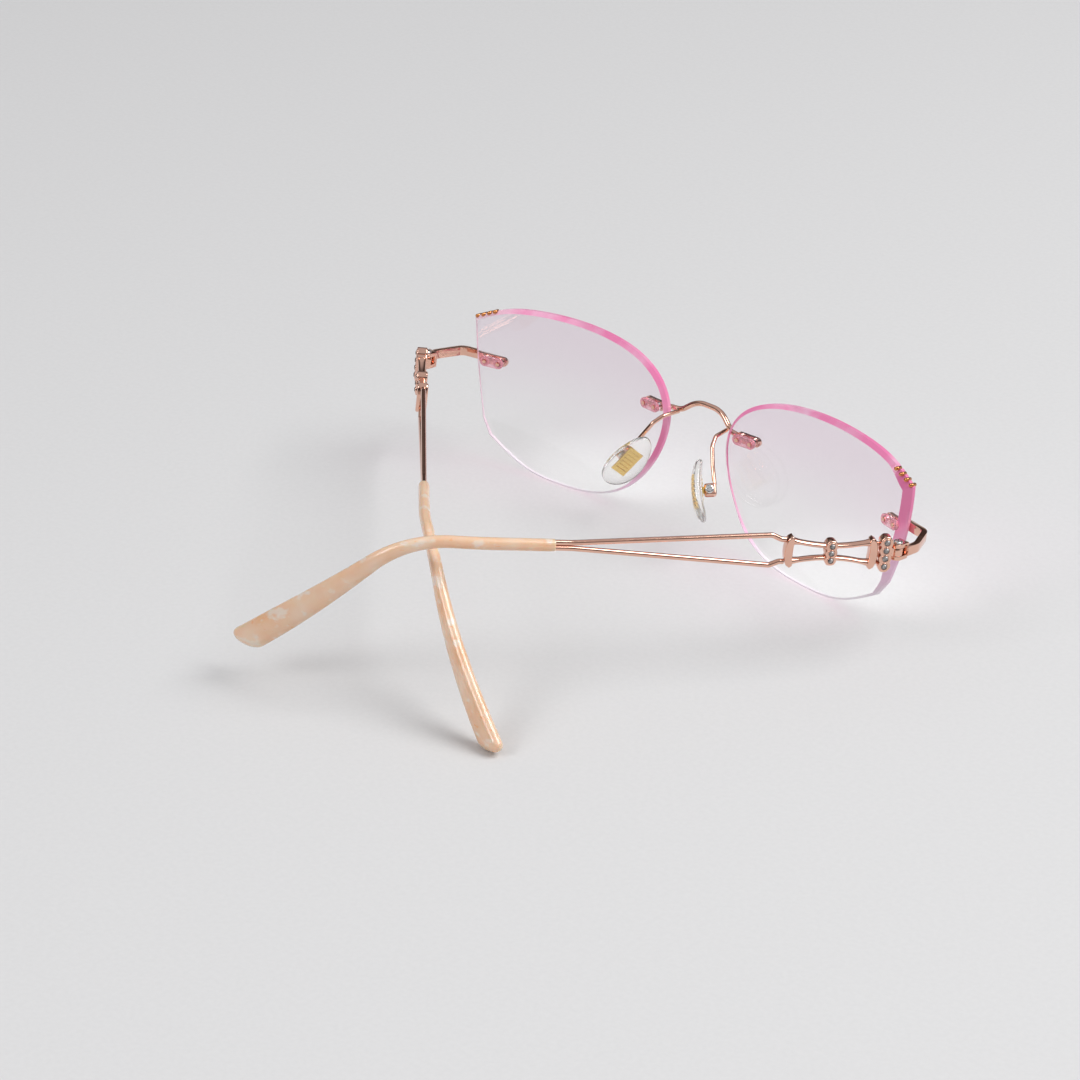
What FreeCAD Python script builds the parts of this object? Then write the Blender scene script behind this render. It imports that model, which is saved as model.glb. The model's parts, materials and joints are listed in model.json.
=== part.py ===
import FreeCAD, Part
import math
import os

# Rimless eyeglasses with bevelled lenses, bamboo-style temple ornaments and acetate tips.
# Millimetres. +Z up, the wearer looks along -Y, +X is the wearer's left.
# The origin is midway between the two lens centres. Both temples rest partly folded in.

doc = FreeCAD.newDocument("RimlessEyeglasses")
Vector = FreeCAD.Vector
SIDES = {"left": 1, "right": -1}

# ---------------------------------------------------------------- driving dimensions
SIZES = {
    "lens_width": 55.4, "lens_height": 39.0, "lens_gap": 17.6, "lens_thickness": 2.0,
    "lens_radius": 109.0, "lens_tilt": 9.4, "lens_wrap": 5.6, "lens_bevel": 0.9,
    "hole_radius": 0.9, "hole_spacing": 3.4, "hole_above_centre": 6.7, "hole_nasal_inset": 4.65,
    "temporal_hole_above": 4.4, "temporal_hole_inset": 5.2,
    "sleeve_flange": 0.3, "seat_gap": 0.08, "sleeve_bore": 0.5, "sleeve_stand": 0.35, "fit_gap": 0.03,
    "bead_radius": 0.5, "bead_spacing": 1.7, "bead_count": 4, "bead_stand": 0.3,
    "pin_radius": 0.46, "pin_stand": 0.6, "foot_length": 6.4, "foot_height": 2.2, "foot_thickness": 0.8,
    "bridge_wire": 1.25, "bridge_rise": 2.7, "bridge_bow": 1.2, "crown_half": 3.4,
    "shoulder_reach": 3.2, "shoulder_back": 0.5,
    "arm_wire": 0.95, "strap_height": 2.0, "strap_thickness": 1.2, "strap_reach": 8.7,
    "hinge_outset": 4.2, "hinge_setback": 17.7, "hinge_lean": 6.6, "hinge_cant": 1.8,
    "hinge_level": 6.2, "knuckle_radius": 1.25, "knuckle_height": 1.8, "ear_height": 0.85,
    "hinge_pin_radius": 0.5, "running_gap": 0.05, "screw_head_radius": 1.0, "screw_head_height": 0.5,
    "fold_left": 45.0, "fold_right": 37.3,
    "temple_offset": 1.2, "collar_gap": 0.35, "collar_length": 2.8, "collar_height": 8.0,
    "collar_depth": 2.4, "crystal_radius": 0.7, "crystal_height": 0.75, "crystal_seat": 0.35,
    "crystal_pitch": 1.8, "link_length": 0.5, "link_radius": 0.45, "link_spread": 2.1,
    "bamboo_length": 19.4, "bamboo_height": 7.0, "end_collar_length": 1.8,
    "centre_collar_length": 2.3, "centre_collar_height": 5.0, "rod_height": 1.3, "rod_depth": 2.0,
    "rod_spread_end": 2.55, "rod_spread_centre": 1.35,
    "wire_diameter": 1.15, "wire_spread_start": 2.5, "wire_spread_corner": 3.4, "wire_spread_end": 0.62,
    "wire_corner": 3.0, "tip_start": 72.6, "tip_straight": 21.0, "tip_bend_radius": 22.0,
    "tip_drop_angle": 46.0, "tip_length": 72.4, "tip_inward": 16.5, "tip_height": 2.6, "tip_depth": 2.4,
    "paddle_height": 4.9, "paddle_depth": 3.3,
    "pad_length": 14.2, "pad_width": 7.6, "pad_thickness": 1.8, "pad_outset": 3.3, "pad_back": 11.0,
    "pad_down": 1.6, "pad_standoff": 1.6, "pad_edge": 0.6, "box_length": 2.8, "box_width": 2.3,
    "box_slot": 1.1, "box_reach": 1.1, "box_floor": 0.9, "box_back": 0.7, "box_round": 0.55,
    "pad_pin_radius": 0.4,
    "insert_length": 6.4, "insert_width": 3.4, "insert_thickness": 0.4,
}

sheet = doc.addObject("Spreadsheet::Sheet", "Sizes")
for row, (alias, value) in enumerate(SIZES.items(), 1):
    sheet.set(f"A{row}", alias)
    sheet.set(f"B{row}", str(value))
    sheet.setAlias(f"B{row}", alias)
doc.recompute()


def size(alias):
    """A driving dimension, read back from the sheet."""
    return float(sheet.get(alias))


# Longer than anything that a bore, notch or slot passes through.
CLEAR_THROUGH = 20.0
# Radii of the wires' and straps' bends, in order from their first point.
BRIDGE_BENDS = [3.0, 9.0, 9.0, 3.0]
ARM_BENDS = [1.8, 2.2, 4.0]
STRAP_BENDS = [2.6, 3.4]
TEMPLE_WIRE_BENDS = [1.0, 1.2, 12.0]
# The share of a run that a bend at one of its ends may take.
HALF_RUN = 0.49
# Thickness of the wall that joins the two outer hinge knuckles.
WEB = 0.6
# The pad arm's bends: out from the nasal edge of the lens, back, and up from the lens holes.
ARM_ROUTE = [(-1.2, 3.9, 0.7), (-0.2, 6.2, -0.5), (1.8, 8.2, -4.1)]


def half_span():
    """From the plane of symmetry to a hinge pin."""
    return size("lens_gap") / 2 + size("lens_width") + size("hinge_outset")


def nasal_edge():
    """From the plane of symmetry to the nearest point of a lens."""
    return size("lens_gap") / 2


def collar_start():
    """From the hinge pin to the collar behind it."""
    return size("knuckle_radius") + size("collar_gap")


# ---------------------------------------------------------------- small tools
def place(base=(0, 0, 0), axis=(0, 0, 1), angle=0.0):
    return FreeCAD.Placement(Vector(*base), FreeCAD.Rotation(Vector(*axis), angle))


def axes_placement(origin, x_axis, z_axis):
    """The placement whose local X and Z lie along the two given directions."""
    rotation = FreeCAD.Rotation(x_axis, z_axis.cross(x_axis), z_axis, "ZXY")
    return FreeCAD.Placement(origin, rotation)


def bind(thing, **formulas):
    for property_name, formula in formulas.items():
        thing.setExpression(property_name, formula)
    return thing


def cylinder(name, radius, height, at):
    """A cylinder whose foot is the placement's origin and whose axis is its Z."""
    thing = doc.addObject("Part::Cylinder", name)
    thing.Placement = at
    return bind(thing, Radius=radius, Height=height)


def block(name, length, width, height, at):
    """A box centred on the placement's origin in X and Y, standing on it in Z."""
    thing = doc.addObject("Part::Box", name)
    bind(thing, Length=length, Width=width, Height=height)
    doc.recompute()
    thing.Placement = at * place((-thing.Length.Value / 2, -thing.Width.Value / 2, 0))
    return thing


def join(name, pieces):
    thing = doc.addObject("Part::MultiFuse", name)
    thing.Shapes = pieces
    return thing


def gather(name, pieces):
    thing = doc.addObject("Part::Compound", name)
    thing.Links = pieces
    return thing


def take(name, base, tools):
    """Base with one or more tools cut away."""
    thing = doc.addObject("Part::Cut", name)
    thing.Base = base
    thing.Tool = tools[0] if len(tools) == 1 else gather(name + "_tools", tools)
    return thing


def rounded_path(points, radii):
    """A wire of straight runs joined by tangent arcs, one radius for each inner point.

    Where two arcs share a run that is too short for both, each keeps to its half of it."""
    corners = [Vector(*point) for point in points]
    edges = []
    here = corners[0]
    last_bend = len(corners) - 2
    for i, radius in enumerate(radii, 1):
        before, corner, after = corners[i - 1:i + 2]
        into = (corner - before).normalize()
        out = (after - corner).normalize()
        turn = into.getAngle(out)
        room_before = (corner - before).Length * (1.0 if i == 1 else HALF_RUN)
        room_after = (after - corner).Length * (1.0 if i == last_bend else HALF_RUN)
        reach = min(radius * math.tan(turn / 2), room_before, room_after)
        radius = reach / math.tan(turn / 2)
        start = corner - into * reach
        end = corner + out * reach
        inward = (out - into).normalize()
        middle = corner + inward * (radius / math.cos(turn / 2) - radius)
        edges.append(Part.LineSegment(here, start).toShape())
        edges.append(Part.Arc(start, middle, end).toShape())
        here = end
    edges.append(Part.LineSegment(here, corners[-1]).toShape())
    return Part.Wire(edges)


def tube(name, diameter, points, radii):
    """A round wire of the given diameter, swept along a rounded path."""
    route = doc.addObject("Part::Feature", name + "_route")
    route.Shape = rounded_path(points, radii)
    section = doc.addObject("Part::Circle", name + "_section")
    start = Vector(*points[0])
    along = Vector(*points[1]) - start
    section.Placement = FreeCAD.Placement(start, FreeCAD.Rotation(Vector(0, 0, 1), along))
    bind(section, Radius=f"{diameter} / 2")
    thing = doc.addObject("Part::Sweep", name)
    thing.Sections = [section]
    thing.Spine = (route, [f"Edge{i + 1}" for i in range(len(route.Shape.Edges))])
    thing.Solid = True
    thing.Frenet = False
    return thing


NODES = []


def finish(thing, node, at=None):
    """Names a finished sub-part and puts it in its place."""
    thing.Label = node
    if at is not None:
        thing.Placement = at
    NODES.append(thing)
    return thing


# ---------------------------------------------------------------- frames of the assembly
def lens_frame(side):
    """Local X runs along the lens away from the wearer's right, Y up the lens, Z forward."""
    half_pitch = (size("lens_width") + size("lens_gap")) / 2
    wrap = math.radians(size("lens_wrap"))
    tilt = math.radians(size("lens_tilt"))
    along = Vector(math.cos(wrap), side * math.sin(wrap), 0)
    upright = Vector(0, -math.sin(tilt), math.cos(tilt))
    forward = along.cross(upright).normalize()
    return axes_placement(Vector(side * half_pitch, 0, 0), along, forward)


def foot_frame(side, out, up):
    """On the lens front: Z is the surface normal, X runs along the lens, Y up it."""
    radius = size("lens_radius")
    yaw = math.degrees(math.asin(side * out / radius))
    pitch = -math.degrees(math.asin(up / radius))
    return place((0, 0, -radius)) * place(axis=(0, 1, 0), angle=yaw) \
        * place(axis=(1, 0, 0), angle=pitch) * place((0, 0, radius))


def nasal_foot(side):
    out = -size("lens_width") / 2 + size("hole_nasal_inset")
    return foot_frame(side, out, size("hole_above_centre"))


def temporal_foot(side):
    out = size("lens_width") / 2 - size("temporal_hole_inset")
    return foot_frame(side, out, size("temporal_hole_above"))


def hinge_frame(side, fold):
    """Local X runs back along the temple, Z up the hinge pin."""
    lean = math.radians(size("hinge_lean"))
    cant = math.radians(size("hinge_cant"))
    back = Vector(0, math.cos(lean), math.sin(lean))
    inward = Vector(-side, 0, 0)
    upright = Vector(0, -math.sin(lean), math.cos(lean))
    upright = (upright * math.cos(cant) - Vector(math.sin(cant), 0, 0)).normalize()
    origin = Vector(side * half_span(), size("hinge_setback"), 0)
    opened = axes_placement(origin, back, upright)
    return opened * place(axis=(0, 0, 1), angle=side * fold)


def pad_frame(side):
    """Origin on the pad screw. Local X runs down the pad, Z towards the nose."""
    towards_nose = Vector(-side * 0.71, 0.70, -0.05).normalize()
    down = Vector(side * 0.482, 0.44, -0.759).normalize()
    down = (down - towards_nose * down.dot(towards_nose)).normalize()
    origin = Vector(side * (nasal_edge() + size("pad_outset")), size("pad_back"), -size("pad_down"))
    return axes_placement(origin, down, towards_nose)


def outward(side, distance):
    """A distance away from the other temple, along a hinge frame's Y."""
    return -side * distance


# ---------------------------------------------------------------- lenses
# Outline points as shares of half the lens width and height, out and up from the lens centre.
OUTER_CORNER = (0.986, 0.723)
FACET_TOP = (0.845, -0.482)
FACET_BOTTOM = (0.755, -0.667)
OUTER_SIDE = (0.942, 0.09)
ROUND_STRETCH = [
    OUTER_CORNER, (0.74, 0.883), (0.40, 0.975), (0.0, 1.0), (-0.389, 0.956), (-0.70, 0.83),
    (-0.90, 0.62), (-0.995, 0.33), (-0.981, 0.0), (-0.845, -0.437), (-0.639, -0.762),
    (-0.36, -0.945), (-0.03, -1.0), (0.36, -0.943), FACET_BOTTOM,
]

# The first bead's distance from the outer corner, as a share of the bead spacing.
BEAD_LEAD = 0.4


def lens_point(side, share):
    return Vector(side * share[0] * size("lens_width") / 2, share[1] * size("lens_height") / 2, 0)


def bead_places(side):
    """Centres of the beads along the top edge, from the outer corner inwards."""
    corner = lens_point(side, OUTER_CORNER)
    inwards = (lens_point(side, ROUND_STRETCH[1]) - corner).normalize()
    step = inwards * size("bead_spacing")
    return [corner + step * (i + BEAD_LEAD) for i in range(int(size("bead_count")))]


def surface_depth(point):
    """How far behind the lens centre the lens front lies at this point."""
    radius = size("lens_radius")
    return radius - math.sqrt(radius ** 2 - point.x ** 2 - point.y ** 2)


def make_lens(name, side):
    label = f"lens_{name}"
    curve = Part.BSplineCurve()
    curve.interpolate([lens_point(side, share) for share in ROUND_STRETCH])
    facet = Part.LineSegment(lens_point(side, FACET_BOTTOM), lens_point(side, FACET_TOP))
    outer = Part.Arc(*[lens_point(side, share) for share in (FACET_TOP, OUTER_SIDE, OUTER_CORNER)])
    outline = doc.addObject("Part::Feature", label + "_outline")
    outline.Shape = Part.Face(Part.Wire([curve.toShape(), facet.toShape(), outer.toShape()]))
    prism = doc.addObject("Part::Extrusion", label + "_prism")
    prism.Base = outline
    prism.DirMode = "Custom"
    prism.Dir = Vector(0, 0, 1)
    prism.Symmetric = True
    prism.Solid = True
    prism.LengthFwd = 2 * CLEAR_THROUGH
    front = doc.addObject("Part::Sphere", label + "_front")
    bind(front, Radius="Sizes.lens_radius")
    back = doc.addObject("Part::Sphere", label + "_back")
    bind(back, Radius="Sizes.lens_radius - Sizes.lens_thickness")
    for ball in (front, back):
        bind(ball, **{"Placement.Base.z": "-Sizes.lens_radius"})
    shell = take(label + "_shell", front, [back])
    blank = doc.addObject("Part::MultiCommon", label + "_blank")
    blank.Shapes = [prism, shell]
    doc.recompute()
    bevel = doc.addObject("Part::Chamfer", label + "_bevel")
    bevel.Base = blank
    inner_radius = size("lens_radius") - size("lens_thickness")
    back_edges = []
    for index, edge in enumerate(blank.Shape.Edges, 1):
        middle = edge.valueAt((edge.FirstParameter + edge.LastParameter) / 2)
        if abs(middle.distanceToPoint(Vector(0, 0, -size("lens_radius"))) - inner_radius) < 0.01:
            if edge.Length > 0.5:
                back_edges.append(index)
    bevel.Edges = [(index, size("lens_bevel"), size("lens_bevel")) for index in back_edges]
    doc.recompute()
    tools = []
    for foot_name, foot in (("nasal", nasal_foot(side)), ("temporal", temporal_foot(side))):
        for i, sign in enumerate((-1, 1)):
            at = foot * place((sign * size("hole_spacing") / 2, 0, -size("lens_thickness") - 1))
            hole = cylinder(f"{label}_hole_{foot_name}_{i}", "Sizes.hole_radius",
                            "Sizes.lens_thickness + 2", at)
            tools.append(hole)
    for i, centre in enumerate(bead_places(side)):
        notch = cylinder(f"{label}_notch_{i}", "Sizes.bead_radius + Sizes.fit_gap", f"{CLEAR_THROUGH}",
                         place((centre.x, centre.y, -CLEAR_THROUGH * 0.75), angle=90))
        tools.append(notch)
    return finish(take(label, bevel, tools), label, lens_frame(side))


def make_beads(name, side):
    label = f"lens_beads_{name}"
    beads = []
    for i, centre in enumerate(bead_places(side)):
        depth = surface_depth(centre) + size("lens_thickness") + size("bead_stand")
        at = place((centre.x, centre.y, -depth), angle=90)
        beads.append(cylinder(f"{label}_{i}", "Sizes.bead_radius",
                              "Sizes.lens_thickness + 2 * Sizes.bead_stand", at))
    return finish(gather(label, beads), label, lens_frame(side))


def make_sleeves(name, side, foot_name, foot):
    """Two flanged tubes that line the lens holes, flange at the back."""
    label = f"sleeves_{foot_name}_{name}"
    sleeves = []
    for i, sign in enumerate((-1, 1)):
        back = -size("lens_thickness") - size("sleeve_stand")
        at = foot * place((sign * size("hole_spacing") / 2, 0, back))
        body = cylinder(f"{label}_body_{i}", "Sizes.hole_radius - Sizes.fit_gap",
                        "Sizes.lens_thickness + Sizes.sleeve_stand", at)
        flange = cylinder(f"{label}_flange_{i}", "Sizes.hole_radius + Sizes.sleeve_flange",
                          "Sizes.sleeve_stand - Sizes.seat_gap", at)
        bore = cylinder(f"{label}_bore_{i}", "Sizes.sleeve_bore", "Sizes.lens_thickness + 4",
                        at * place((0, 0, -1)))
        sleeves.append(take(f"{label}_{i}", join(f"{label}_outer_{i}", [body, flange]), [bore]))
    return finish(gather(label, sleeves), label, lens_frame(side))


def foot_pieces(label, side, foot):
    """A plate on the lens front and its two pins, in the assembly frame."""
    frame = lens_frame(side) * foot
    plate = block(f"{label}_plate", "Sizes.foot_length - Sizes.foot_height", "Sizes.foot_height",
                  "Sizes.foot_thickness", frame * place((0, 0, size("seat_gap"))))
    pieces = [plate]
    for i, sign in enumerate((-1, 1)):
        end = (size("foot_length") - size("foot_height")) / 2
        pieces.append(cylinder(f"{label}_round_{i}", "Sizes.foot_height / 2", "Sizes.foot_thickness",
                               frame * place((sign * end, 0, size("seat_gap")))))
        back = -size("lens_thickness") - size("sleeve_stand") - size("pin_stand")
        pieces.append(cylinder(f"{label}_pin_{i}", "Sizes.pin_radius",
                               f"{-back} + Sizes.seat_gap + Sizes.foot_thickness / 2",
                               frame * place((sign * size("hole_spacing") / 2, 0, back))))
    return pieces


# ---------------------------------------------------------------- bridge, pad arms and endpieces
def bridge_end(side):
    """Where the bridge wire leaves its foot."""
    foot = lens_frame(side) * nasal_foot(side)
    inner = -side * size("foot_length") / 2
    return foot.multVec(Vector(inner, 0, size("seat_gap") + size("bridge_wire") / 2))


def bridge_shoulder(side):
    """The bridge wire's bend beside the foot, where the pad arm is soldered."""
    end = bridge_end(side)
    return Vector(end.x - side * size("shoulder_reach"), end.y - size("shoulder_back"), end.z + 0.1)


def make_bridge():
    left = bridge_end(1)
    right = bridge_end(-1)
    top = bridge_shoulder(1).z + size("bridge_rise")
    bow = bridge_shoulder(1).y - size("bridge_bow")
    crown = size("crown_half")
    points = [left, bridge_shoulder(1), Vector(crown, bow, top), Vector(-crown, bow, top),
              bridge_shoulder(-1), right]
    wire = tube("bridge_wire", "Sizes.bridge_wire", [tuple(point) for point in points], BRIDGE_BENDS)
    pieces = [wire]
    for name, side in SIDES.items():
        pieces += foot_pieces(f"bridge_{name}", side, nasal_foot(side))
    return finish(join("bridge", pieces), "bridge")


def make_pad_arm(name, side):
    """A bent wire soldered behind the bridge shoulder, ending in the pad box."""
    label = f"pad_arm_{name}"
    start = bridge_shoulder(side) + Vector(0, (size("bridge_wire") + size("arm_wire")) / 2, 0)
    frame = pad_frame(side)
    into_box = size("arm_wire") / 3
    end = frame.multVec(Vector(-size("box_length") / 2 + into_box, 0,
                               -size("box_floor") - size("box_back") / 2))
    bends = [(side * (nasal_edge() + out), back, size("hole_above_centre") + up)
             for out, back, up in ARM_ROUTE]
    wire = tube(label + "_wire", "Sizes.arm_wire", [tuple(start), *bends, tuple(end)], ARM_BENDS)
    floor = -size("box_floor") - size("box_back")
    outer = doc.addObject("Part::Fillet", label + "_cup")
    outer.Base = block(label + "_box", "Sizes.box_length", "Sizes.box_width",
                       "Sizes.box_floor + Sizes.box_back + Sizes.box_reach", frame * place((0, 0, floor)))
    doc.recompute()
    outer.Edges = [(i + 1, size("box_round"), size("box_round"))
                   for i in range(len(outer.Base.Shape.Edges))]
    slot = block(label + "_slot", "Sizes.box_length + 1", "Sizes.box_slot",
                 "Sizes.box_floor + Sizes.box_reach + 1", frame * place((0, 0, -size("box_floor"))))
    bore = cylinder(label + "_bore", "Sizes.pad_pin_radius + Sizes.running_gap / 2", f"{CLEAR_THROUGH}",
                    frame * place((0, -CLEAR_THROUGH / 2, 0), (1, 0, 0), -90))
    solid = take(label, join(label + "_joined", [wire, outer]), [slot, bore])
    return finish(solid, label)


def make_pad_screw(name, side):
    label = f"pad_screw_{name}"
    half = size("box_width") / 2
    turned = pad_frame(side) * place((0, 0, 0), (1, 0, 0), side * 90)
    shank = cylinder(label + "_shank", "Sizes.pad_pin_radius", "Sizes.box_width + Sizes.fit_gap",
                     turned * place((0, 0, -half)))
    head = cylinder(label + "_head", "Sizes.screw_head_radius", "Sizes.screw_head_height",
                    turned * place((0, 0, half + size("fit_gap"))))
    return finish(join(label, [shank, head]), label)


def make_pad(name, side):
    """An oval silicone pad with a seat for the metal insert in its back."""
    label = f"nose_pad_{name}"
    oval = doc.addObject("Part::Ellipse", label + "_oval")
    bind(oval, MajorRadius="Sizes.pad_length / 2", MinorRadius="Sizes.pad_width / 2")
    slab = doc.addObject("Part::Extrusion", label + "_slab")
    slab.Base = oval
    slab.DirMode = "Custom"
    slab.Dir = Vector(0, 0, 1)
    slab.Solid = True
    bind(slab, LengthFwd="Sizes.pad_thickness")
    doc.recompute()
    soft = doc.addObject("Part::Fillet", label + "_soft")
    soft.Base = slab
    soft.Edges = [(i, size("pad_edge"), size("pad_edge"))
                  for i, edge in enumerate(slab.Shape.Edges, 1) if edge.isClosed()]
    seat = block(label + "_seat", "Sizes.insert_length + 2 * Sizes.fit_gap",
                 "Sizes.insert_width + 2 * Sizes.fit_gap", "Sizes.insert_thickness + Sizes.fit_gap", place())
    at = pad_frame(side) * place((0, 0, size("pad_standoff")))
    return finish(take(label, soft, [seat]), label, at)


def make_insert(name, side):
    """The plate in the pad's back, with the tab that turns on the pad screw."""
    label = f"pad_insert_{name}"
    stand = size("pad_standoff")
    tab_thickness = "Sizes.box_slot - 2 * Sizes.running_gap"
    plate = block(label + "_plate", "Sizes.insert_length", "Sizes.insert_width", "Sizes.insert_thickness",
                  place((0, 0, stand)))
    neck = block(label + "_neck", "Sizes.box_floor * 1.6", tab_thickness,
                 "Sizes.pad_standoff + Sizes.insert_thickness / 2", place())
    ring = cylinder(label + "_ring", "Sizes.box_floor * 0.8", tab_thickness,
                    place((0, -(size("box_slot") / 2 - size("running_gap")), 0), (1, 0, 0), -90))
    bore = cylinder(label + "_bore", "Sizes.pad_pin_radius + Sizes.running_gap", "4",
                    place((0, -2, 0), (1, 0, 0), -90))
    solid = take(label, join(label + "_joined", [plate, neck, ring]), [bore])
    return finish(solid, label, pad_frame(side))


def make_endpiece(name, side):
    """Foot and pins on the lens, a strap round the corner, and the two outer hinge knuckles."""
    label = f"endpiece_{name}"
    foot = lens_frame(side) * temporal_foot(side)
    thick = size("strap_thickness") / 2 + size("seat_gap")
    start = foot.multVec(Vector(side * size("foot_height") / 2, 0, thick))
    corner = foot.multVec(Vector(side * size("strap_reach"), 0.2, thick))
    hinge = hinge_frame(side, 0)
    level = size("hinge_level")
    offset = outward(side, size("temple_offset"))
    end = hinge.multVec(Vector(-collar_start(), offset, level))
    bend = hinge.multVec(Vector(-collar_start() - STRAP_BENDS[1], offset, level))
    route = doc.addObject("Part::Feature", label + "_route")
    route.Shape = rounded_path([tuple(start), tuple(corner), tuple(bend), tuple(end)], STRAP_BENDS)
    first = (corner - start).normalize()
    lift = foot.Rotation.multVec(Vector(0, 0, 1)).cross(first).normalize()
    across = first.cross(lift).normalize() * (size("strap_thickness") / 2)
    tall = lift * (size("strap_height") / 2)
    section = doc.addObject("Part::Feature", label + "_section")
    section.Shape = Part.makePolygon([start + across + tall, start - across + tall, start - across - tall,
                                      start + across - tall, start + across + tall])
    strap = doc.addObject("Part::Sweep", label + "_strap")
    strap.Sections = [section]
    strap.Spine = (route, [f"Edge{i + 1}" for i in range(len(route.Shape.Edges))])
    strap.Solid = True
    pieces = foot_pieces(label, side, temporal_foot(side)) + [strap]
    reach = collar_start() + WEB
    half_knuckle = size("knuckle_height") / 2 + size("running_gap")
    for i, sign in enumerate((-1, 1)):
        low = level + (half_knuckle if sign > 0 else -half_knuckle - size("ear_height"))
        pieces.append(cylinder(f"{label}_knuckle_{i}", "Sizes.knuckle_radius", "Sizes.ear_height",
                               hinge * place((0, 0, low))))
        pieces.append(block(f"{label}_ear_{i}", f"{reach}", "2 * Sizes.knuckle_radius",
                            "Sizes.ear_height", hinge * place((-reach / 2, 0, low))))
    web_foot = level - half_knuckle - size("ear_height")
    pieces.append(block(f"{label}_web", f"{WEB}", "2 * Sizes.knuckle_radius",
                        "Sizes.knuckle_height + 2 * Sizes.running_gap + 2 * Sizes.ear_height",
                        hinge * place((-collar_start() - WEB / 2, 0, web_foot))))
    bore = cylinder(f"{label}_bore", "Sizes.hinge_pin_radius + Sizes.fit_gap", f"{CLEAR_THROUGH}",
                    hinge * place((0, 0, level - CLEAR_THROUGH / 2)))
    relief = cylinder(f"{label}_relief", f"{collar_start() - 2 * size('running_gap')}",
                      f"{2 * half_knuckle}", hinge * place((0, 0, level - half_knuckle)))
    return finish(take(label, join(label + "_joined", pieces), [bore, relief]), label)


def make_hinge_screw(name, side):
    label = f"hinge_screw_{name}"
    hinge = hinge_frame(side, 0)
    half = size("knuckle_height") / 2 + size("running_gap") + size("ear_height")
    level = size("hinge_level")
    shank = cylinder(label + "_shank", "Sizes.hinge_pin_radius", f"{2 * half + size('fit_gap')}",
                     hinge * place((0, 0, level - half)))
    head = cylinder(label + "_head", "Sizes.screw_head_radius", "Sizes.screw_head_height",
                    hinge * place((0, 0, level + half + size("fit_gap"))))
    return finish(join(label, [shank, head]), label)


# ---------------------------------------------------------------- temples
# Temple pieces are drawn in the hinge frame: X back along the temple, Z up, outward is -side * Y.
def collar_end():
    return collar_start() + size("collar_length")


def bamboo_start():
    return collar_end() + size("link_length")


def bamboo_end():
    return bamboo_start() + size("bamboo_length")


def crystal_levels(count):
    return [size("hinge_level") + (i - (count - 1) / 2) * size("crystal_pitch") for i in range(count)]


def crystal_place(side, along, level, depth):
    """Local Z points outward from the collar's outer face, sunk by depth."""
    face = size("temple_offset") + size("collar_depth") / 2 - depth
    return place((along, outward(side, face), level), (1, 0, 0), 90 if side > 0 else -90)


def make_crystals(node, side, along, count):
    stones = []
    for i, level in enumerate(crystal_levels(count)):
        at = crystal_place(side, along, level, size("crystal_seat"))
        stone = doc.addObject("Part::Cone", f"{node}_{i}")
        stone.Placement = at
        bind(stone, Radius1="Sizes.crystal_radius", Radius2="Sizes.crystal_radius * 0.6",
             Height="Sizes.crystal_height")
        stones.append(stone)
    return stones


def crystal_seats(label, side, along, count):
    return [cylinder(f"{label}_seat_{i}", "Sizes.crystal_radius + Sizes.fit_gap", "3",
                     crystal_place(side, along, level, size("crystal_seat")))
            for i, level in enumerate(crystal_levels(count))]


def make_temple_hinge(name, side, frame):
    """The middle knuckle and the upright collar that carries four crystals."""
    label = f"temple_hinge_{name}"
    level = size("hinge_level")
    half = size("knuckle_height") / 2
    knuckle = cylinder(label + "_knuckle", "Sizes.knuckle_radius", "Sizes.knuckle_height",
                       place((0, 0, level - half)))
    reach = collar_start() + 0.4
    tongue = block(label + "_tongue", f"{reach}", "2 * Sizes.knuckle_radius * 0.8", "Sizes.knuckle_height",
                   place((reach / 2, 0, level - half)))
    middle = collar_start() + size("collar_length") / 2
    collar = block(label + "_collar", "Sizes.collar_length", "Sizes.collar_depth", "Sizes.collar_height",
                   place((middle, outward(side, size("temple_offset")), level - size("collar_height") / 2)))
    bore = cylinder(label + "_bore", "Sizes.hinge_pin_radius + Sizes.running_gap", f"{CLEAR_THROUGH}",
                    place((0, 0, level - CLEAR_THROUGH / 2)))
    tools = [bore] + crystal_seats(label, side, middle, 4)
    finish(take(label, join(label + "_joined", [knuckle, tongue, collar]), tools), label, frame)
    stones = make_crystals(f"collar_crystals_{name}", side, middle, 4)
    finish(gather(f"collar_crystals_{name}", stones), f"collar_crystals_{name}", frame)


def make_links(name, side, frame):
    label = f"link_pins_{name}"
    pins = []
    for i, sign in enumerate((-1, 1)):
        at = place((collar_end(), outward(side, size("temple_offset")),
                    size("hinge_level") + sign * size("link_spread")), (0, 1, 0), 90)
        pins.append(cylinder(f"{label}_{i}", "Sizes.link_radius", "Sizes.link_length", at))
    return finish(gather(label, pins), label, frame)


def collar_block(label, side, middle, length, height):
    low = size("hinge_level") - size(height) / 2
    return block(label, f"Sizes.{length}", "Sizes.collar_depth", f"Sizes.{height}",
                 place((middle, outward(side, size("temple_offset")), low)))


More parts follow.
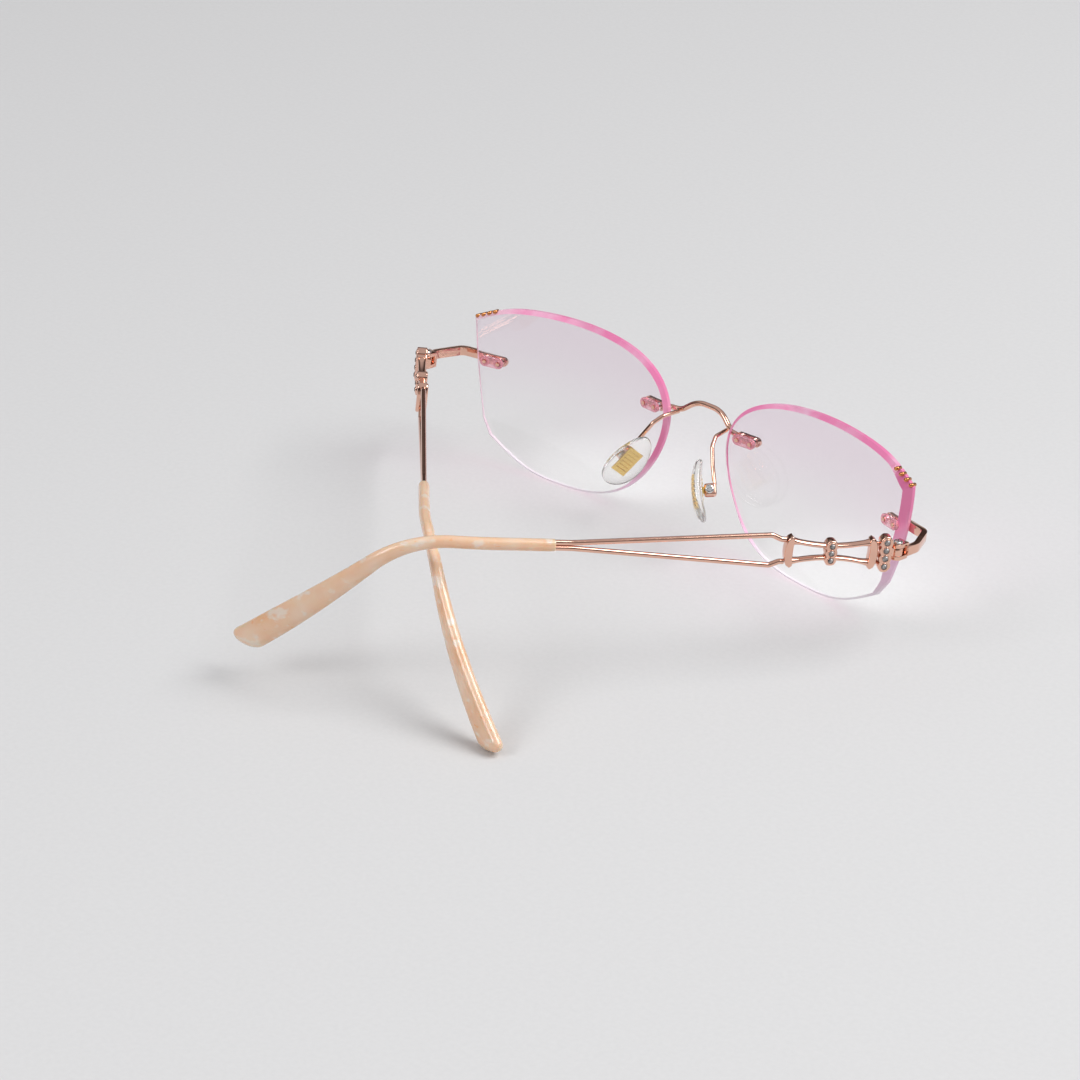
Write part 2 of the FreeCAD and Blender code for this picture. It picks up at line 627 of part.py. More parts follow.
def make_bamboo(name, side, frame):
    """Two end collars, a centre collar with three crystals, and two rods that bow together."""
    front = bamboo_start() + size("end_collar_length") / 2
    rear = bamboo_end() - size("end_collar_length") / 2
    centre = (front + rear) / 2
    for place_name, middle in (("front", front), ("rear", rear)):
        label = f"ornament_collar_{place_name}_{name}"
        solid = collar_block(label, side, middle, "end_collar_length", "bamboo_height")
        finish(solid, label, frame * solid.Placement)
    label = f"ornament_collar_centre_{name}"
    solid = collar_block(label + "_block", side, centre, "centre_collar_length", "centre_collar_height")
    finish(take(label, solid, crystal_seats(label, side, centre, 3)), label, frame)
    stones = make_crystals(f"centre_crystals_{name}", side, centre, 3)
    finish(gather(f"centre_crystals_{name}", stones), f"centre_crystals_{name}", frame)

    label = f"ornament_rods_{name}"
    rods = []
    offset = outward(side, size("temple_offset"))
    for i, sign in enumerate((-1, 1)):
        end_level = size("hinge_level") + sign * size("rod_spread_end")
        ends_at = [Vector(along, offset, end_level) for along in (front, rear)]
        waist = Vector(centre, offset, size("hinge_level") + sign * size("rod_spread_centre"))
        route = doc.addObject("Part::Feature", f"{label}_route_{i}")
        route.Shape = Part.Wire([Part.Arc(ends_at[0], waist, ends_at[1]).toShape()])
        section = doc.addObject("Part::Ellipse", f"{label}_section_{i}")
        bind(section, MajorRadius="Sizes.rod_depth / 2", MinorRadius="Sizes.rod_height / 2")
        tangent = route.Shape.Edges[0].tangentAt(route.Shape.Edges[0].FirstParameter)
        section.Placement = axes_placement(ends_at[0], Vector(0, 1, 0), tangent)
        rod = doc.addObject("Part::Sweep", f"{label}_sweep_{i}")
        rod.Sections = [section]
        rod.Spine = (route, ["Edge1"])
        rod.Solid = True
        rods.append(rod)
    tools = [collar_block(f"{label}_cut_{i}", side, middle, length, height) for i, (middle, length, height)
             in enumerate(((front, "end_collar_length", "bamboo_height"),
                           (centre, "centre_collar_length", "centre_collar_height"),
                           (rear, "end_collar_length", "bamboo_height")))]
    finish(take(label, gather(label + "_both", rods), tools), label, frame)


# Straight lengths of temple wire out of the bamboo ornament and into the tip.
WIRE_LEAD_OUT = 1.0
WIRE_LEAD_IN = 3.6


def make_temple_wires(name, side, frame):
    offset = outward(side, size("temple_offset"))
    level = size("hinge_level")
    start = bamboo_end()
    for wire_name, sign in (("upper", 1), ("lower", -1)):
        label = f"temple_wire_{wire_name}_{name}"
        corner = start + size("wire_corner")
        heights = [("wire_spread_start", start), ("wire_spread_start", start + WIRE_LEAD_OUT),
                   ("wire_spread_corner", corner),
                   ("wire_spread_end", size("tip_start") - WIRE_LEAD_IN),
                   ("wire_spread_end", size("tip_start"))]
        points = [(along, offset, level + sign * size(spread)) for spread, along in heights]
        finish(tube(label, "Sizes.wire_diameter", points, TEMPLE_WIRE_BENDS), label, frame)


# Where the tip starts to swell and how far it takes, as shares of its length.
SWELL_START = 0.2
SWELL_SPAN = 0.45
# The inward sweep starts at this share of the straight, and grows with this power.
SWEEP_START = 0.6
SWEEP_POWER = 1.8
TIP_OVALS = 17
TIP_ROUNDING = 1.6


def tip_station(side, travelled):
    """Centre and direction of the tip at a distance along it from its start."""
    straight = size("tip_straight")
    radius = size("tip_bend_radius")
    drop = math.radians(size("tip_drop_angle"))
    angle = min(max((travelled - straight) / radius, 0.0), drop)
    past = max(travelled - straight - radius * drop, 0.0)
    along = size("tip_start") + min(travelled, straight) + radius * math.sin(angle) + past * math.cos(drop)
    level = size("hinge_level") - radius * (1 - math.cos(angle)) - past * math.sin(drop)
    sweep_from = straight * SWEEP_START
    share = max(travelled - sweep_from, 0.0) / (size("tip_length") - sweep_from)
    inward = size("tip_inward") * share ** SWEEP_POWER - size("temple_offset")
    return Vector(along, -outward(side, inward), level)


def make_tip(name, side, frame):
    """A loft through ovals that grow from the wires to a flat paddle and close to a round end."""
    label = f"temple_tip_{name}"
    length = size("tip_length")
    sections = []
    for i in range(TIP_OVALS):
        share = i / (TIP_OVALS - 1)
        travelled = share * length
        centre = tip_station(side, travelled)
        ahead = tip_station(side, travelled + 0.2) - tip_station(side, travelled - 0.2)
        grown = min(max((share - SWELL_START) / SWELL_SPAN, 0.0), 1.0)
        grown = grown * grown * (3 - 2 * grown)
        height = size("tip_height") + (size("paddle_height") - size("tip_height")) * grown
        depth = size("tip_depth") + (size("paddle_depth") - size("tip_depth")) * grown
        if i == TIP_OVALS - 1:
            height = height - 2 * TIP_ROUNDING
            depth = depth - 1.5 * TIP_ROUNDING
        oval = doc.addObject("Part::Ellipse", f"{label}_oval_{i}")
        oval.MajorRadius = height / 2
        oval.MinorRadius = depth / 2
        sideways = Vector(0, 0, 1).cross(ahead).normalize()
        tall = ahead.cross(sideways).normalize()
        oval.Placement = axes_placement(centre, tall, ahead.normalize())
        sections.append(oval)
    loft = doc.addObject("Part::Loft", label)
    loft.Sections = sections
    loft.Solid = True
    loft.Ruled = False
    return finish(loft, label, frame)


# ---------------------------------------------------------------- the whole pair of glasses
make_bridge()
for side_name, side_sign in SIDES.items():
    make_lens(side_name, side_sign)
    make_beads(side_name, side_sign)
    make_sleeves(side_name, side_sign, "nasal", nasal_foot(side_sign))
    make_sleeves(side_name, side_sign, "temporal", temporal_foot(side_sign))
    make_pad_arm(side_name, side_sign)
    make_pad_screw(side_name, side_sign)
    make_pad(side_name, side_sign)
    make_insert(side_name, side_sign)
    make_endpiece(side_name, side_sign)
    make_hinge_screw(side_name, side_sign)
    temple_frame = hinge_frame(side_sign, size(f"fold_{side_name}"))
    make_temple_hinge(side_name, side_sign, temple_frame)
    make_links(side_name, side_sign, temple_frame)
    make_bamboo(side_name, side_sign, temple_frame)
    make_temple_wires(side_name, side_sign, temple_frame)
    make_tip(side_name, side_sign, temple_frame)

doc.recompute()

for thing in doc.Objects:
    if "Invalid" in thing.State or "Error" in thing.State:
        raise RuntimeError(f"{thing.Label} did not build: {thing.State}")
for thing in NODES:
    if thing.Shape.isNull() or not thing.Shape.isValid() or not thing.Shape.Solids:
        raise RuntimeError(f"{thing.Label} has no valid solid")

os.makedirs("parts", exist_ok=True)
for thing in NODES:
    thing.Shape.exportStep(f"parts/{thing.Label}.step")
    box = thing.Shape.BoundBox
    print(f"{thing.Label}: {len(thing.Shape.Solids)} solid(s), {thing.Shape.Volume:.2f} mm3, "
          f"x {box.XMin:.1f}..{box.XMax:.1f} y {box.YMin:.1f}..{box.YMax:.1f} "
          f"z {box.ZMin:.1f}..{box.ZMax:.1f}")
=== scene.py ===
"""Looks of the rimless eyeglasses: lenses, gilt wires, bamboo ornaments, stones, pads and acetate tips."""
import json
import math

import bmesh
import bpy
import numpy as np
from mathutils import Matrix, Vector


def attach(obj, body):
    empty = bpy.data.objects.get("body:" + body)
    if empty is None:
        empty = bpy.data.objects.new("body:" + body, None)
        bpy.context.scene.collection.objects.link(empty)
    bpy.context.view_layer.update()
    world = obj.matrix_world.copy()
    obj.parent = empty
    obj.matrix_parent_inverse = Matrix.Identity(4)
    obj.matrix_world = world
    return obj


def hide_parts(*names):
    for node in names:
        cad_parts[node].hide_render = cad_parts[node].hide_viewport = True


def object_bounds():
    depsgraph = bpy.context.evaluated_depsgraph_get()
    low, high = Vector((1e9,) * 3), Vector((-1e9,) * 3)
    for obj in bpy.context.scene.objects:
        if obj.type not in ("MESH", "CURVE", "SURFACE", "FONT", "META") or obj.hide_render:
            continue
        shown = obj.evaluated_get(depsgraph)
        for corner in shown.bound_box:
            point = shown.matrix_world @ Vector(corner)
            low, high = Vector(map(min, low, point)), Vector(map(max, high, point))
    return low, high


bl_info = {
    "name": "Rimless Eyeglasses",
    "version": (1, 0, 0),
    "blender": (4, 5, 0),
    "location": "3D View > Sidebar > Eyewear",
    "description": "Builds bevelled lenses, gilt metalwork, stones, nose pads and acetate tips",
    "category": "Object",
}

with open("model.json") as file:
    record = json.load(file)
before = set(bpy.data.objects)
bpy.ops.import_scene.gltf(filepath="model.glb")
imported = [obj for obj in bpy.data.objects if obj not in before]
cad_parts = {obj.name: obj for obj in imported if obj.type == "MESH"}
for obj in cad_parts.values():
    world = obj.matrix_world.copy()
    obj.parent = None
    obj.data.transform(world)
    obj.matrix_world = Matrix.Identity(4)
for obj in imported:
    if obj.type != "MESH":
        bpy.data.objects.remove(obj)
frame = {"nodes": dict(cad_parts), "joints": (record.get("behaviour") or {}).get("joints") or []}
CAD_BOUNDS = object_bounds()
JOINTS = {joint["name"]: joint for joint in frame["joints"]}
SIDES = {"left": 1, "right": -1}
MM = 0.001

# The lens blank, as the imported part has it.
LENS_WIDTH = 55.4 * MM
LENS_HEIGHT = 39.0 * MM
LENS_GAP = 17.6 * MM
LENS_RADIUS = 109.0 * MM
LENS_TILT = math.radians(9.4)
LENS_WRAP = math.radians(5.6)
LENS_THICKNESS = 2.0 * MM
EDGE_CHAMFER = 0.12 * MM
HOLE_RADIUS = 0.9 * MM
HOLE_SPACING = 3.4 * MM
NASAL_HOLES = (-LENS_WIDTH / 2 + 4.65 * MM, 6.7 * MM)
TEMPORAL_HOLES = (LENS_WIDTH / 2 - 5.2 * MM, 4.4 * MM)
# Outline points as shares of half the lens width and height, out and up from the lens centre.
OUTER_CORNER = (0.986, 0.723)
FACET_TOP = (0.845, -0.482)
FACET_BOTTOM = (0.755, -0.667)
OUTER_SIDE = (0.942, 0.09)
ROUND_STRETCH = [
    OUTER_CORNER, (0.74, 0.883), (0.40, 0.975), (0.0, 1.0), (-0.389, 0.956), (-0.70, 0.83),
    (-0.90, 0.62), (-0.995, 0.33), (-0.981, 0.0), (-0.845, -0.437), (-0.639, -0.762),
    (-0.36, -0.945), (-0.03, -1.0), (0.36, -0.943), FACET_BOTTOM,
]
BEAD_SPACING = 1.7 * MM
BEAD_LEAD = 0.4
BEAD_COUNT = 4
BEAD_LENGTH = 1.5 * MM
NOTCH_EASE = 1.06
WASHER_RADIUS = 1.2 * MM
WASHER_BORE = 0.62 * MM
WASHER_BACK = -2.75 * MM
WASHER_FRONT = -2.12 * MM
WASHER_MIDDLE = -2.4 * MM

# Stations along a temple, in the hinge frame: X back along it, Z up the hinge pin.
HINGE_LEVEL = 6.2 * MM
TEMPLE_OFFSET = 1.2 * MM
COLLAR_START = 1.6 * MM
COLLAR_LENGTH = 2.8 * MM
COLLAR_DEPTH = 2.4 * MM
STONE_PITCH = 1.8 * MM
LINK_LENGTH = 0.5 * MM
LINK_SPREAD = 2.1 * MM
BAMBOO_LENGTH = 19.4 * MM
BAMBOO_HEIGHT = 7.0 * MM
END_COLLAR = 1.8 * MM
CENTRE_COLLAR = 2.6 * MM
CENTRE_PITCH = 1.6 * MM
ORNAMENT_START = COLLAR_START + COLLAR_LENGTH + LINK_LENGTH
ROD_SPREAD_END = 2.55 * MM
ROD_SPREAD_CENTRE = 1.35 * MM
COLLAR_EDGE = 0.3 * MM
END_COLLAR_EDGE = 0.4 * MM
END_COLLAR_BOW = 0.5 * MM
KNUCKLE_RADIUS = 1.25 * MM
KNUCKLE_BORE = 0.55 * MM
KNUCKLE_HEIGHT = 1.8 * MM
KNUCKLE_GAP = 0.05 * MM
FORK_HEIGHT = 0.85 * MM
TONGUE_HALF = 1.0 * MM
TONGUE_START = 0.95 * MM
TONGUE_OVERLAP = 0.5 * MM
LINK_RADIUS = 0.42 * MM
STONE_RISE = 0.3 * MM
STONE_SHARE = 0.40
TABLE_SHARE = 0.6
SETTING_GAP = 0.06 * MM
SETTING_WIRE = 0.12 * MM
TIP_START = 72.6 * MM
TIP_STRAIGHT = 21.0 * MM
TIP_BEND = 22.0 * MM
TIP_DROP = math.radians(46.0)
TIP_LENGTH = 72.4 * MM
TIP_INWARD = 16.5 * MM
TIP_DEPTH = 2.4 * MM
PADDLE_DEPTH = 3.3 * MM
TIP_CAP = 2.2 * MM
TIP_SLANT = 0.6

# The nose pads, in the frame of the pad screw: X down the pad, Z towards the nose.
PAD_STANDOFF = 1.6 * MM
BOX_WIDTH = 2.3 * MM
PAD_HALF_SIZE = (7.1 * MM, 3.8 * MM, 1.2 * MM)
PAD_BOW = 1.2 * MM
INSERT_DEPTH = 0.45 * MM
RIB_COUNT = 6
FIT_GAP = 0.03 * MM
HEAD_RADIUS = 1.0 * MM
HEAD_RISE = 0.5 * MM
SLOT_WIDTH = 0.34 * MM
PAD_PIN_RADIUS = 0.4 * MM
HINGE_PIN_RADIUS = 0.5 * MM
CROSS_TURNS = (math.radians(20), math.radians(110))
SLOT_TURNS = (math.radians(35),)


# ---------------------------------------------------------------- frames of the assembly
def matrix_from(origin, x_axis, z_axis):
    y_axis = z_axis.cross(x_axis)
    matrix = Matrix((x_axis, y_axis, z_axis)).transposed().to_4x4()
    matrix.translation = origin
    return matrix


def lens_matrix(side):
    """Local X runs to the wearer's left along the lens, Y up it, Z forward."""
    along = Vector((math.cos(LENS_WRAP), side * math.sin(LENS_WRAP), 0))
    upright = Vector((0, -math.sin(LENS_TILT), math.cos(LENS_TILT)))
    forward = along.cross(upright).normalized()
    return matrix_from(Vector((side * (LENS_WIDTH + LENS_GAP) / 2, 0, 0)), along, forward)


def temple_matrix(side):
    """The hinge frame of a temple at rest, from its packed joint."""
    joint = JOINTS["temple_fold_left" if side > 0 else "temple_fold_right"]
    up = Vector(joint["axis"]) * side
    fold = -math.radians(joint["range_deg"][0])
    opened = Vector((0, up.z, -up.y)).normalized()
    back = Matrix.Rotation(side * fold, 3, up) @ opened
    return matrix_from(Vector(joint["pos_m"]), back, up.normalized())


def hinge_matrix(side):
    """The hinge frame with the temple fully open, which the front's knuckles follow."""
    joint = JOINTS["temple_fold_left" if side > 0 else "temple_fold_right"]
    up = (Vector(joint["axis"]) * side).normalized()
    return matrix_from(Vector(joint["pos_m"]), Vector((0, up.z, -up.y)).normalized(), up)


def pad_matrix(side):
    joint = JOINTS["pad_rock_left" if side > 0 else "pad_rock_right"]
    towards_nose = Vector((-side * 0.71, 0.70, -0.05)).normalized()
    down = Vector((side * 0.482, 0.44, -0.759)).normalized()
    down = (down - towards_nose * down.dot(towards_nose)).normalized()
    return matrix_from(Vector(joint["pos_m"]), down, towards_nose)


def outward(side, distance):
    return -side * distance


# ---------------------------------------------------------------- settings
def length_setting(name, description, default):
    return bpy.props.FloatProperty(name=name, description=description, default=default, unit="LENGTH")


def colour_setting(name, description, default):
    return bpy.props.FloatVectorProperty(name=name, description=description, subtype="COLOR", size=4,
                                         default=default)


class EyewearSizes(bpy.types.PropertyGroup):
    bevel_width: length_setting("Bevel width", "Width of the polished bevel behind the lens edge", 0.95 * MM)
    bevel_height: length_setting("Bevel height", "How much of the lens edge the bevel takes", 0.9 * MM)
    stone_radius: length_setting("Stone radius", "Radius of each grey stone", 0.68 * MM)
    bead_radius: length_setting("Bead radius", "Radius of the gilt beads in the lens edge", 0.42 * MM)
    rib_pitch: length_setting("Rib pitch", "Distance between ribs on the pad insert", 0.9 * MM)
    tip_height: length_setting("Tip height", "Height of the acetate tip at its start", 2.6 * MM)
    paddle_height: length_setting("Paddle height", "Height of the acetate tip near its end", 6.0 * MM)


class EyewearColours(bpy.types.PropertyGroup):
    rose_gold: colour_setting(
        "Rose gold", "Plating of the wires, collars and hinges", (0.88, 0.53, 0.41, 1))
    yellow_gold: colour_setting(
        "Yellow gold", "Plating of the pad inserts", (0.95, 0.66, 0.20, 1))
    lens_top: colour_setting(
        "Lens tint", "Tint at the top of the lens; it fades out downwards", (0.95, 0.86, 0.92, 1))
    bevel_pink: colour_setting(
        "Bevel pink", "Painted pink of the lens edge at the top", (1.0, 0.27, 0.53, 1))
    acetate: colour_setting(
        "Acetate", "Main colour of the tips", (0.92, 0.57, 0.35, 1))
    floor: colour_setting(
        "Floor", "Colour of the studio floor", (0.69, 0.69, 0.69, 1))


def sizes():
    return bpy.context.scene.eyewear_sizes


def colours():
    return bpy.context.scene.eyewear_colours


# ---------------------------------------------------------------- pieces
def as_piece(thing, body, materials=(), instead_of=()):
    """Dresses a finished object, ties it to its body and hides the CAD nodes it stands for."""
    for material in materials:
        thing.data.materials.append(material)
    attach(thing, body)
    if instead_of:
        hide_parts(*instead_of)
    return thing


def mesh_object(name, points, faces, sharp_degrees=35.0):
    """A closed mesh with its faces outward, smooth but for edges sharper than the angle."""
    shape = bmesh.new()
    corners = [shape.verts.new(point) for point in points]
    for face in faces:
        shape.faces.new([corners[i] for i in face])
    bmesh.ops.remove_doubles(shape, verts=shape.verts, dist=1e-7)
    bmesh.ops.recalc_face_normals(shape, faces=shape.faces)
    for face in shape.faces:
        face.smooth = True
    mesh = bpy.data.meshes.new(name)
    shape.to_mesh(mesh)
    shape.free()
    mesh.set_sharp_from_angle(angle=math.radians(sharp_degrees))
    thing = bpy.data.objects.new(name, mesh)
    bpy.context.scene.collection.objects.link(thing)
    return thing


def baked(thing, name):
    """The object with its modifiers applied, as a new plain mesh object."""
    bpy.context.view_layer.update()
    graph = bpy.context.evaluated_depsgraph_get()
    mesh = bpy.data.meshes.new_from_object(thing.evaluated_get(graph))
    mesh.name = name
    result = bpy.data.objects.new(name, mesh)
    bpy.context.scene.collection.objects.link(result)
    bpy.data.objects.remove(thing)
    return result


def carved(thing, tools, name):
    """The object less its tools. The cut is made at a thousand times the size, where it is exact."""
    for part in (thing, *tools):
        part.data.transform(Matrix.Scale(1 / MM, 4))
    for tool in tools:
        cut = thing.modifiers.new("Cut", "BOOLEAN")
        cut.operation = "DIFFERENCE"
        cut.solver = "EXACT"
        cut.object = tool
    result = baked(thing, name)
    for tool in tools:
        bpy.data.objects.remove(tool)
    result.data.transform(Matrix.Scale(MM, 4))
    if not result.data.polygons:
        raise RuntimeError(f"{name} came out empty")
    return result


def rings_object(name, rings, sharp_degrees=35.0, closed_ends=True):
    """Skins a list of rings, each with the same number of points, and closes both ends."""
    count = len(rings[0])
    points = [point for ring in rings for point in ring]
    faces = []
    for row in range(len(rings) - 1):
        low = row * count
        for i in range(count):
            j = (i + 1) % count
            faces.append((low + i, low + j, low + count + j, low + count + i))
    if closed_ends:
        for low in (0, (len(rings) - 1) * count):
            points.append(sum((Vector(points[low + i]) for i in range(count)), Vector()) / count)
            hub = len(points) - 1
            faces += [(low + i, low + (i + 1) % count, hub) for i in range(count)]
    return mesh_object(name, points, faces, sharp_degrees)


def circle(radius, z, count):
    """Points round a circle at a height."""
    return [(radius * math.cos(2 * math.pi * i / count), radius * math.sin(2 * math.pi * i / count), z)
            for i in range(count)]


def moved(points, matrix):
    return [matrix @ Vector(point) for point in points]


def softened(node, width, sharp_degrees=30.0):
    """A copy of a CAD node with its corners merged and its edges rounded by a small bevel."""
    source = frame["nodes"][node].data
    shape = bmesh.new()
    corners = [shape.verts.new(vertex.co) for vertex in source.vertices]
    shape.verts.ensure_lookup_table()
    for polygon in source.polygons:
        loop = [corners[i] for i in polygon.vertices]
        if len(set(loop)) == len(loop) and shape.faces.get(loop) is None:
            shape.faces.new(loop)
    bmesh.ops.remove_doubles(shape, verts=shape.verts, dist=2e-6)
    bmesh.ops.dissolve_degenerate(shape, dist=2e-6, edges=shape.edges)
    bmesh.ops.dissolve_limit(shape, angle_limit=math.radians(1.0), verts=shape.verts, edges=shape.edges)
    for face in shape.faces:
        face.smooth = True
    mesh = bpy.data.meshes.new(node)
    shape.to_mesh(mesh)
    shape.free()
    thing = bpy.data.objects.new(node + "_soft", mesh)
    bpy.context.scene.collection.objects.link(thing)
    bevel = thing.modifiers.new("Edges", "BEVEL")
    bevel.width = width
    bevel.segments = 2
    bevel.limit_method = "ANGLE"
    bevel.angle_limit = math.radians(sharp_degrees)
    bevel.harden_normals = False
    result = baked(thing, node + "_finished")
    result.data.set_sharp_from_angle(angle=math.radians(sharp_degrees + 10))
    return result


# ---------------------------------------------------------------- curves
def spline_through(points, count):
    """A natural cubic through the points, spaced by chord length."""
    knots = np.array(points, float)
    steps = np.hypot(*np.diff(knots, axis=0).T)
    at = np.concatenate([[0], np.cumsum(steps)])
    size = len(knots)
    system = np.eye(size)
    wanted = np.zeros((size, 2))
    for i in range(1, size - 1):
        system[i, i - 1:i + 2] = steps[i - 1], 2 * (steps[i - 1] + steps[i]), steps[i]
        wanted[i] = 6 * ((knots[i + 1] - knots[i]) / steps[i] - (knots[i] - knots[i - 1]) / steps[i - 1])
    bend = np.linalg.solve(system, wanted)
    result = []
    for t in np.linspace(0, at[-1], count):
        i = min(int(np.searchsorted(at, t, "right")) - 1, size - 2)
        h, a, b = steps[i], at[i + 1] - t, t - at[i]
        result.append((bend[i] * a ** 3 + bend[i + 1] * b ** 3) / (6 * h)
                      + (knots[i] / h - bend[i] * h / 6) * a + (knots[i + 1] / h - bend[i + 1] * h / 6) * b)
    return np.array(result)


def arc_through(first, middle, last, count):
    """Points on the circle through three points, from the first to the last."""
    a, b, c = (np.array(point, float) for point in (first, middle, last))
    system = 2 * np.array([b - a, c - a])
    centre = np.linalg.solve(system, np.array([b @ b - a @ a, c @ c - a @ a]))
    start, end = (math.atan2(*(point - centre)[::-1]) for point in (a, c))
    turn = (end - start + math.pi) % (2 * math.pi) - math.pi
    radius = np.hypot(*(a - centre))
    angles = start + turn * np.linspace(0, 1, count)
    return np.array([centre + radius * np.array([math.cos(t), math.sin(t)]) for t in angles])


def smoothstep(low, high, value):
    t = min(max((value - low) / (high - low), 0.0), 1.0)
    return t * t * (3 - 2 * t)


# ---------------------------------------------------------------- materials
def maths(tree, operation, first, second=0.0):
    """A maths node; each value is a number or a socket."""
    node = tree.nodes.new("ShaderNodeMath")
    node.operation = operation
    for socket, value in zip(node.inputs, (first, second)):
        if isinstance(value, bpy.types.NodeSocket):
            tree.links.new(value, socket)
        else:
            socket.default_value = value
    return node.outputs[0]


def new_material(name):
    material = bpy.data.materials.new(name)
    material.use_nodes = True
    nodes = material.node_tree.nodes
    return material, nodes, material.node_tree.links, nodes["Principled BSDF"]


def made_once(name):
    """The decorated function fills in a new material of this name the first time it is asked for."""
    def wrap(fill):
        def ask():
            if name not in bpy.data.materials:
                fill(*new_material(name))
            return bpy.data.materials[name]
        return ask
    return wrap


def group_input(tree, label, kind, value):
    socket = tree.interface.new_socket(label, in_out="INPUT", socket_type=kind)
    socket.default_value = value


def speckle_group():
    """Noise on object coordinates: a soft mask, and the same as a height for fine relief."""
    name = "Speckle"
    if name in bpy.data.node_groups:
        return bpy.data.node_groups[name]
    tree = bpy.data.node_groups.new(name, "ShaderNodeTree")
    group_input(tree, "Scale", "NodeSocketFloat", 800.0)
    group_input(tree, "Low", "NodeSocketFloat", 0.1)
    group_input(tree, "High", "NodeSocketFloat", 0.2)
    group_input(tree, "Stretch", "NodeSocketVector", (1, 1, 1))
    tree.interface.new_socket("Value", in_out="OUTPUT", socket_type="NodeSocketFloat")
    tree.interface.new_socket("Mask", in_out="OUTPUT", socket_type="NodeSocketFloat")
    nodes, links = tree.nodes, tree.links
    inputs = nodes.new("NodeGroupInput")
    outputs = nodes.new("NodeGroupOutput")
    place = nodes.new("ShaderNodeTexCoord")
    stretch = nodes.new("ShaderNodeVectorMath")
    stretch.operation = "MULTIPLY"
    grain = nodes.new("ShaderNodeTexNoise")
    grain.inputs["Detail"].default_value = 3
    spread = nodes.new("ShaderNodeMapRange")
    links.new(place.outputs["Object"], stretch.inputs[0])
    links.new(inputs.outputs["Stretch"], stretch.inputs[1])
    links.new(stretch.outputs["Vector"], grain.inputs["Vector"])
    links.new(inputs.outputs["Scale"], grain.inputs["Scale"])
    links.new(grain.outputs["Fac"], spread.inputs["Value"])
    links.new(inputs.outputs["Low"], spread.inputs["To Min"])
    links.new(inputs.outputs["High"], spread.inputs["To Max"])
    spread.inputs["From Min"].default_value = 0.3
    spread.inputs["From Max"].default_value = 0.7
    links.new(spread.outputs["Result"], outputs.inputs["Value"])
    links.new(grain.outputs["Fac"], outputs.inputs["Mask"])
    return tree


def speckle(nodes, scale, low, high, stretch=(1, 1, 1)):
    node = nodes.new("ShaderNodeGroup")
    node.node_tree = speckle_group()
    node.inputs["Scale"].default_value = scale
    node.inputs["Low"].default_value = low
    node.inputs["High"].default_value = high
    node.inputs["Stretch"].default_value = stretch
    return node


def object_axes(nodes, links):
    """The separate X, Y and Z of the object coordinates."""
    place = nodes.new("ShaderNodeTexCoord")
    split = nodes.new("ShaderNodeSeparateXYZ")
    links.new(place.outputs["Object"], split.inputs[0])
    return split.outputs


def ramp_between(nodes, links, source, low, high, to_low=0.0, to_high=1.0):
    """A smooth step as the source goes from low to high."""
    ramp = nodes.new("ShaderNodeMapRange")
    ramp.interpolation_type = "SMOOTHSTEP"
    links.new(source, ramp.inputs["Value"])
    ramp.inputs["From Min"].default_value = low
    ramp.inputs["From Max"].default_value = high
    ramp.inputs["To Min"].default_value = to_low
    ramp.inputs["To Max"].default_value = to_high
    return ramp.outputs["Result"]


def blend_colours(nodes, links, factor, first, second):
    mix = nodes.new("ShaderNodeMix")
    mix.data_type = "RGBA"
    links.new(factor, mix.inputs["Factor"])
    for socket, colour in ((mix.inputs["A"], first), (mix.inputs["B"], second)):
        if isinstance(colour, bpy.types.NodeSocket):
            links.new(colour, socket)
        else:
            socket.default_value = colour
    return mix.outputs["Result"]


def polished_metal(name, colour, low, high, scale=900.0, relief=0.015):
    """Plated metal: its gloss wanders a little, with faint polishing relief."""
    if name in bpy.data.materials:
        return bpy.data.materials[name]
    material, nodes, links, shader = new_material(name)
    shader.inputs["Metallic"].default_value = 1.0
    gloss = speckle(nodes, scale, low, high)
    links.new(gloss.outputs["Value"], shader.inputs["Roughness"])
    tone = speckle(nodes, scale * 0.25, 0.0, 1.0)
    deep = [channel * 0.9 for channel in colour[:3]] + [1]
    links.new(blend_colours(nodes, links, tone.outputs["Value"], deep, tuple(colour)),
              shader.inputs["Base Color"])
    bump = nodes.new("ShaderNodeBump")
    bump.inputs["Strength"].default_value = relief
    bump.inputs["Distance"].default_value = 0.02 * MM
    links.new(gloss.outputs["Mask"], bump.inputs["Height"])
    links.new(bump.outputs["Normal"], shader.inputs["Normal"])
    return material


def rose_gold():
    return polished_metal("rose_gold_plate", colours().rose_gold, 0.05, 0.13)


def yellow_gold():
    return polished_metal("yellow_gold_plate", colours().yellow_gold, 0.14, 0.26)


def bead_gold():
    return polished_metal("bead_gilding", (0.72, 0.30, 0.11, 1), 0.08, 0.16)


def screw_steel():
    return polished_metal("screw_steel", (0.80, 0.79, 0.78, 1), 0.14, 0.26, relief=0.05)


def clear_shadow(material, shader, shadow_colour):
    """Lets soft light through a clear piece, so that its shadow is pale and tinted."""
    nodes, links = material.node_tree.nodes, material.node_tree.links
    output = nodes["Material Output"]
    passing = nodes.new("ShaderNodeBsdfTransparent")
    if isinstance(shadow_colour, bpy.types.NodeSocket):
        links.new(shadow_colour, passing.inputs["Color"])
    else:
        passing.inputs["Color"].default_value = shadow_colour
    rays = nodes.new("ShaderNodeLightPath")
    mix = nodes.new("ShaderNodeMixShader")
    links.new(rays.outputs["Is Shadow Ray"], mix.inputs["Fac"])
    links.new(shader.outputs["BSDF"], mix.inputs[1])
    links.new(passing.outputs["BSDF"], mix.inputs[2])
    links.new(mix.outputs["Shader"], output.inputs["Surface"])


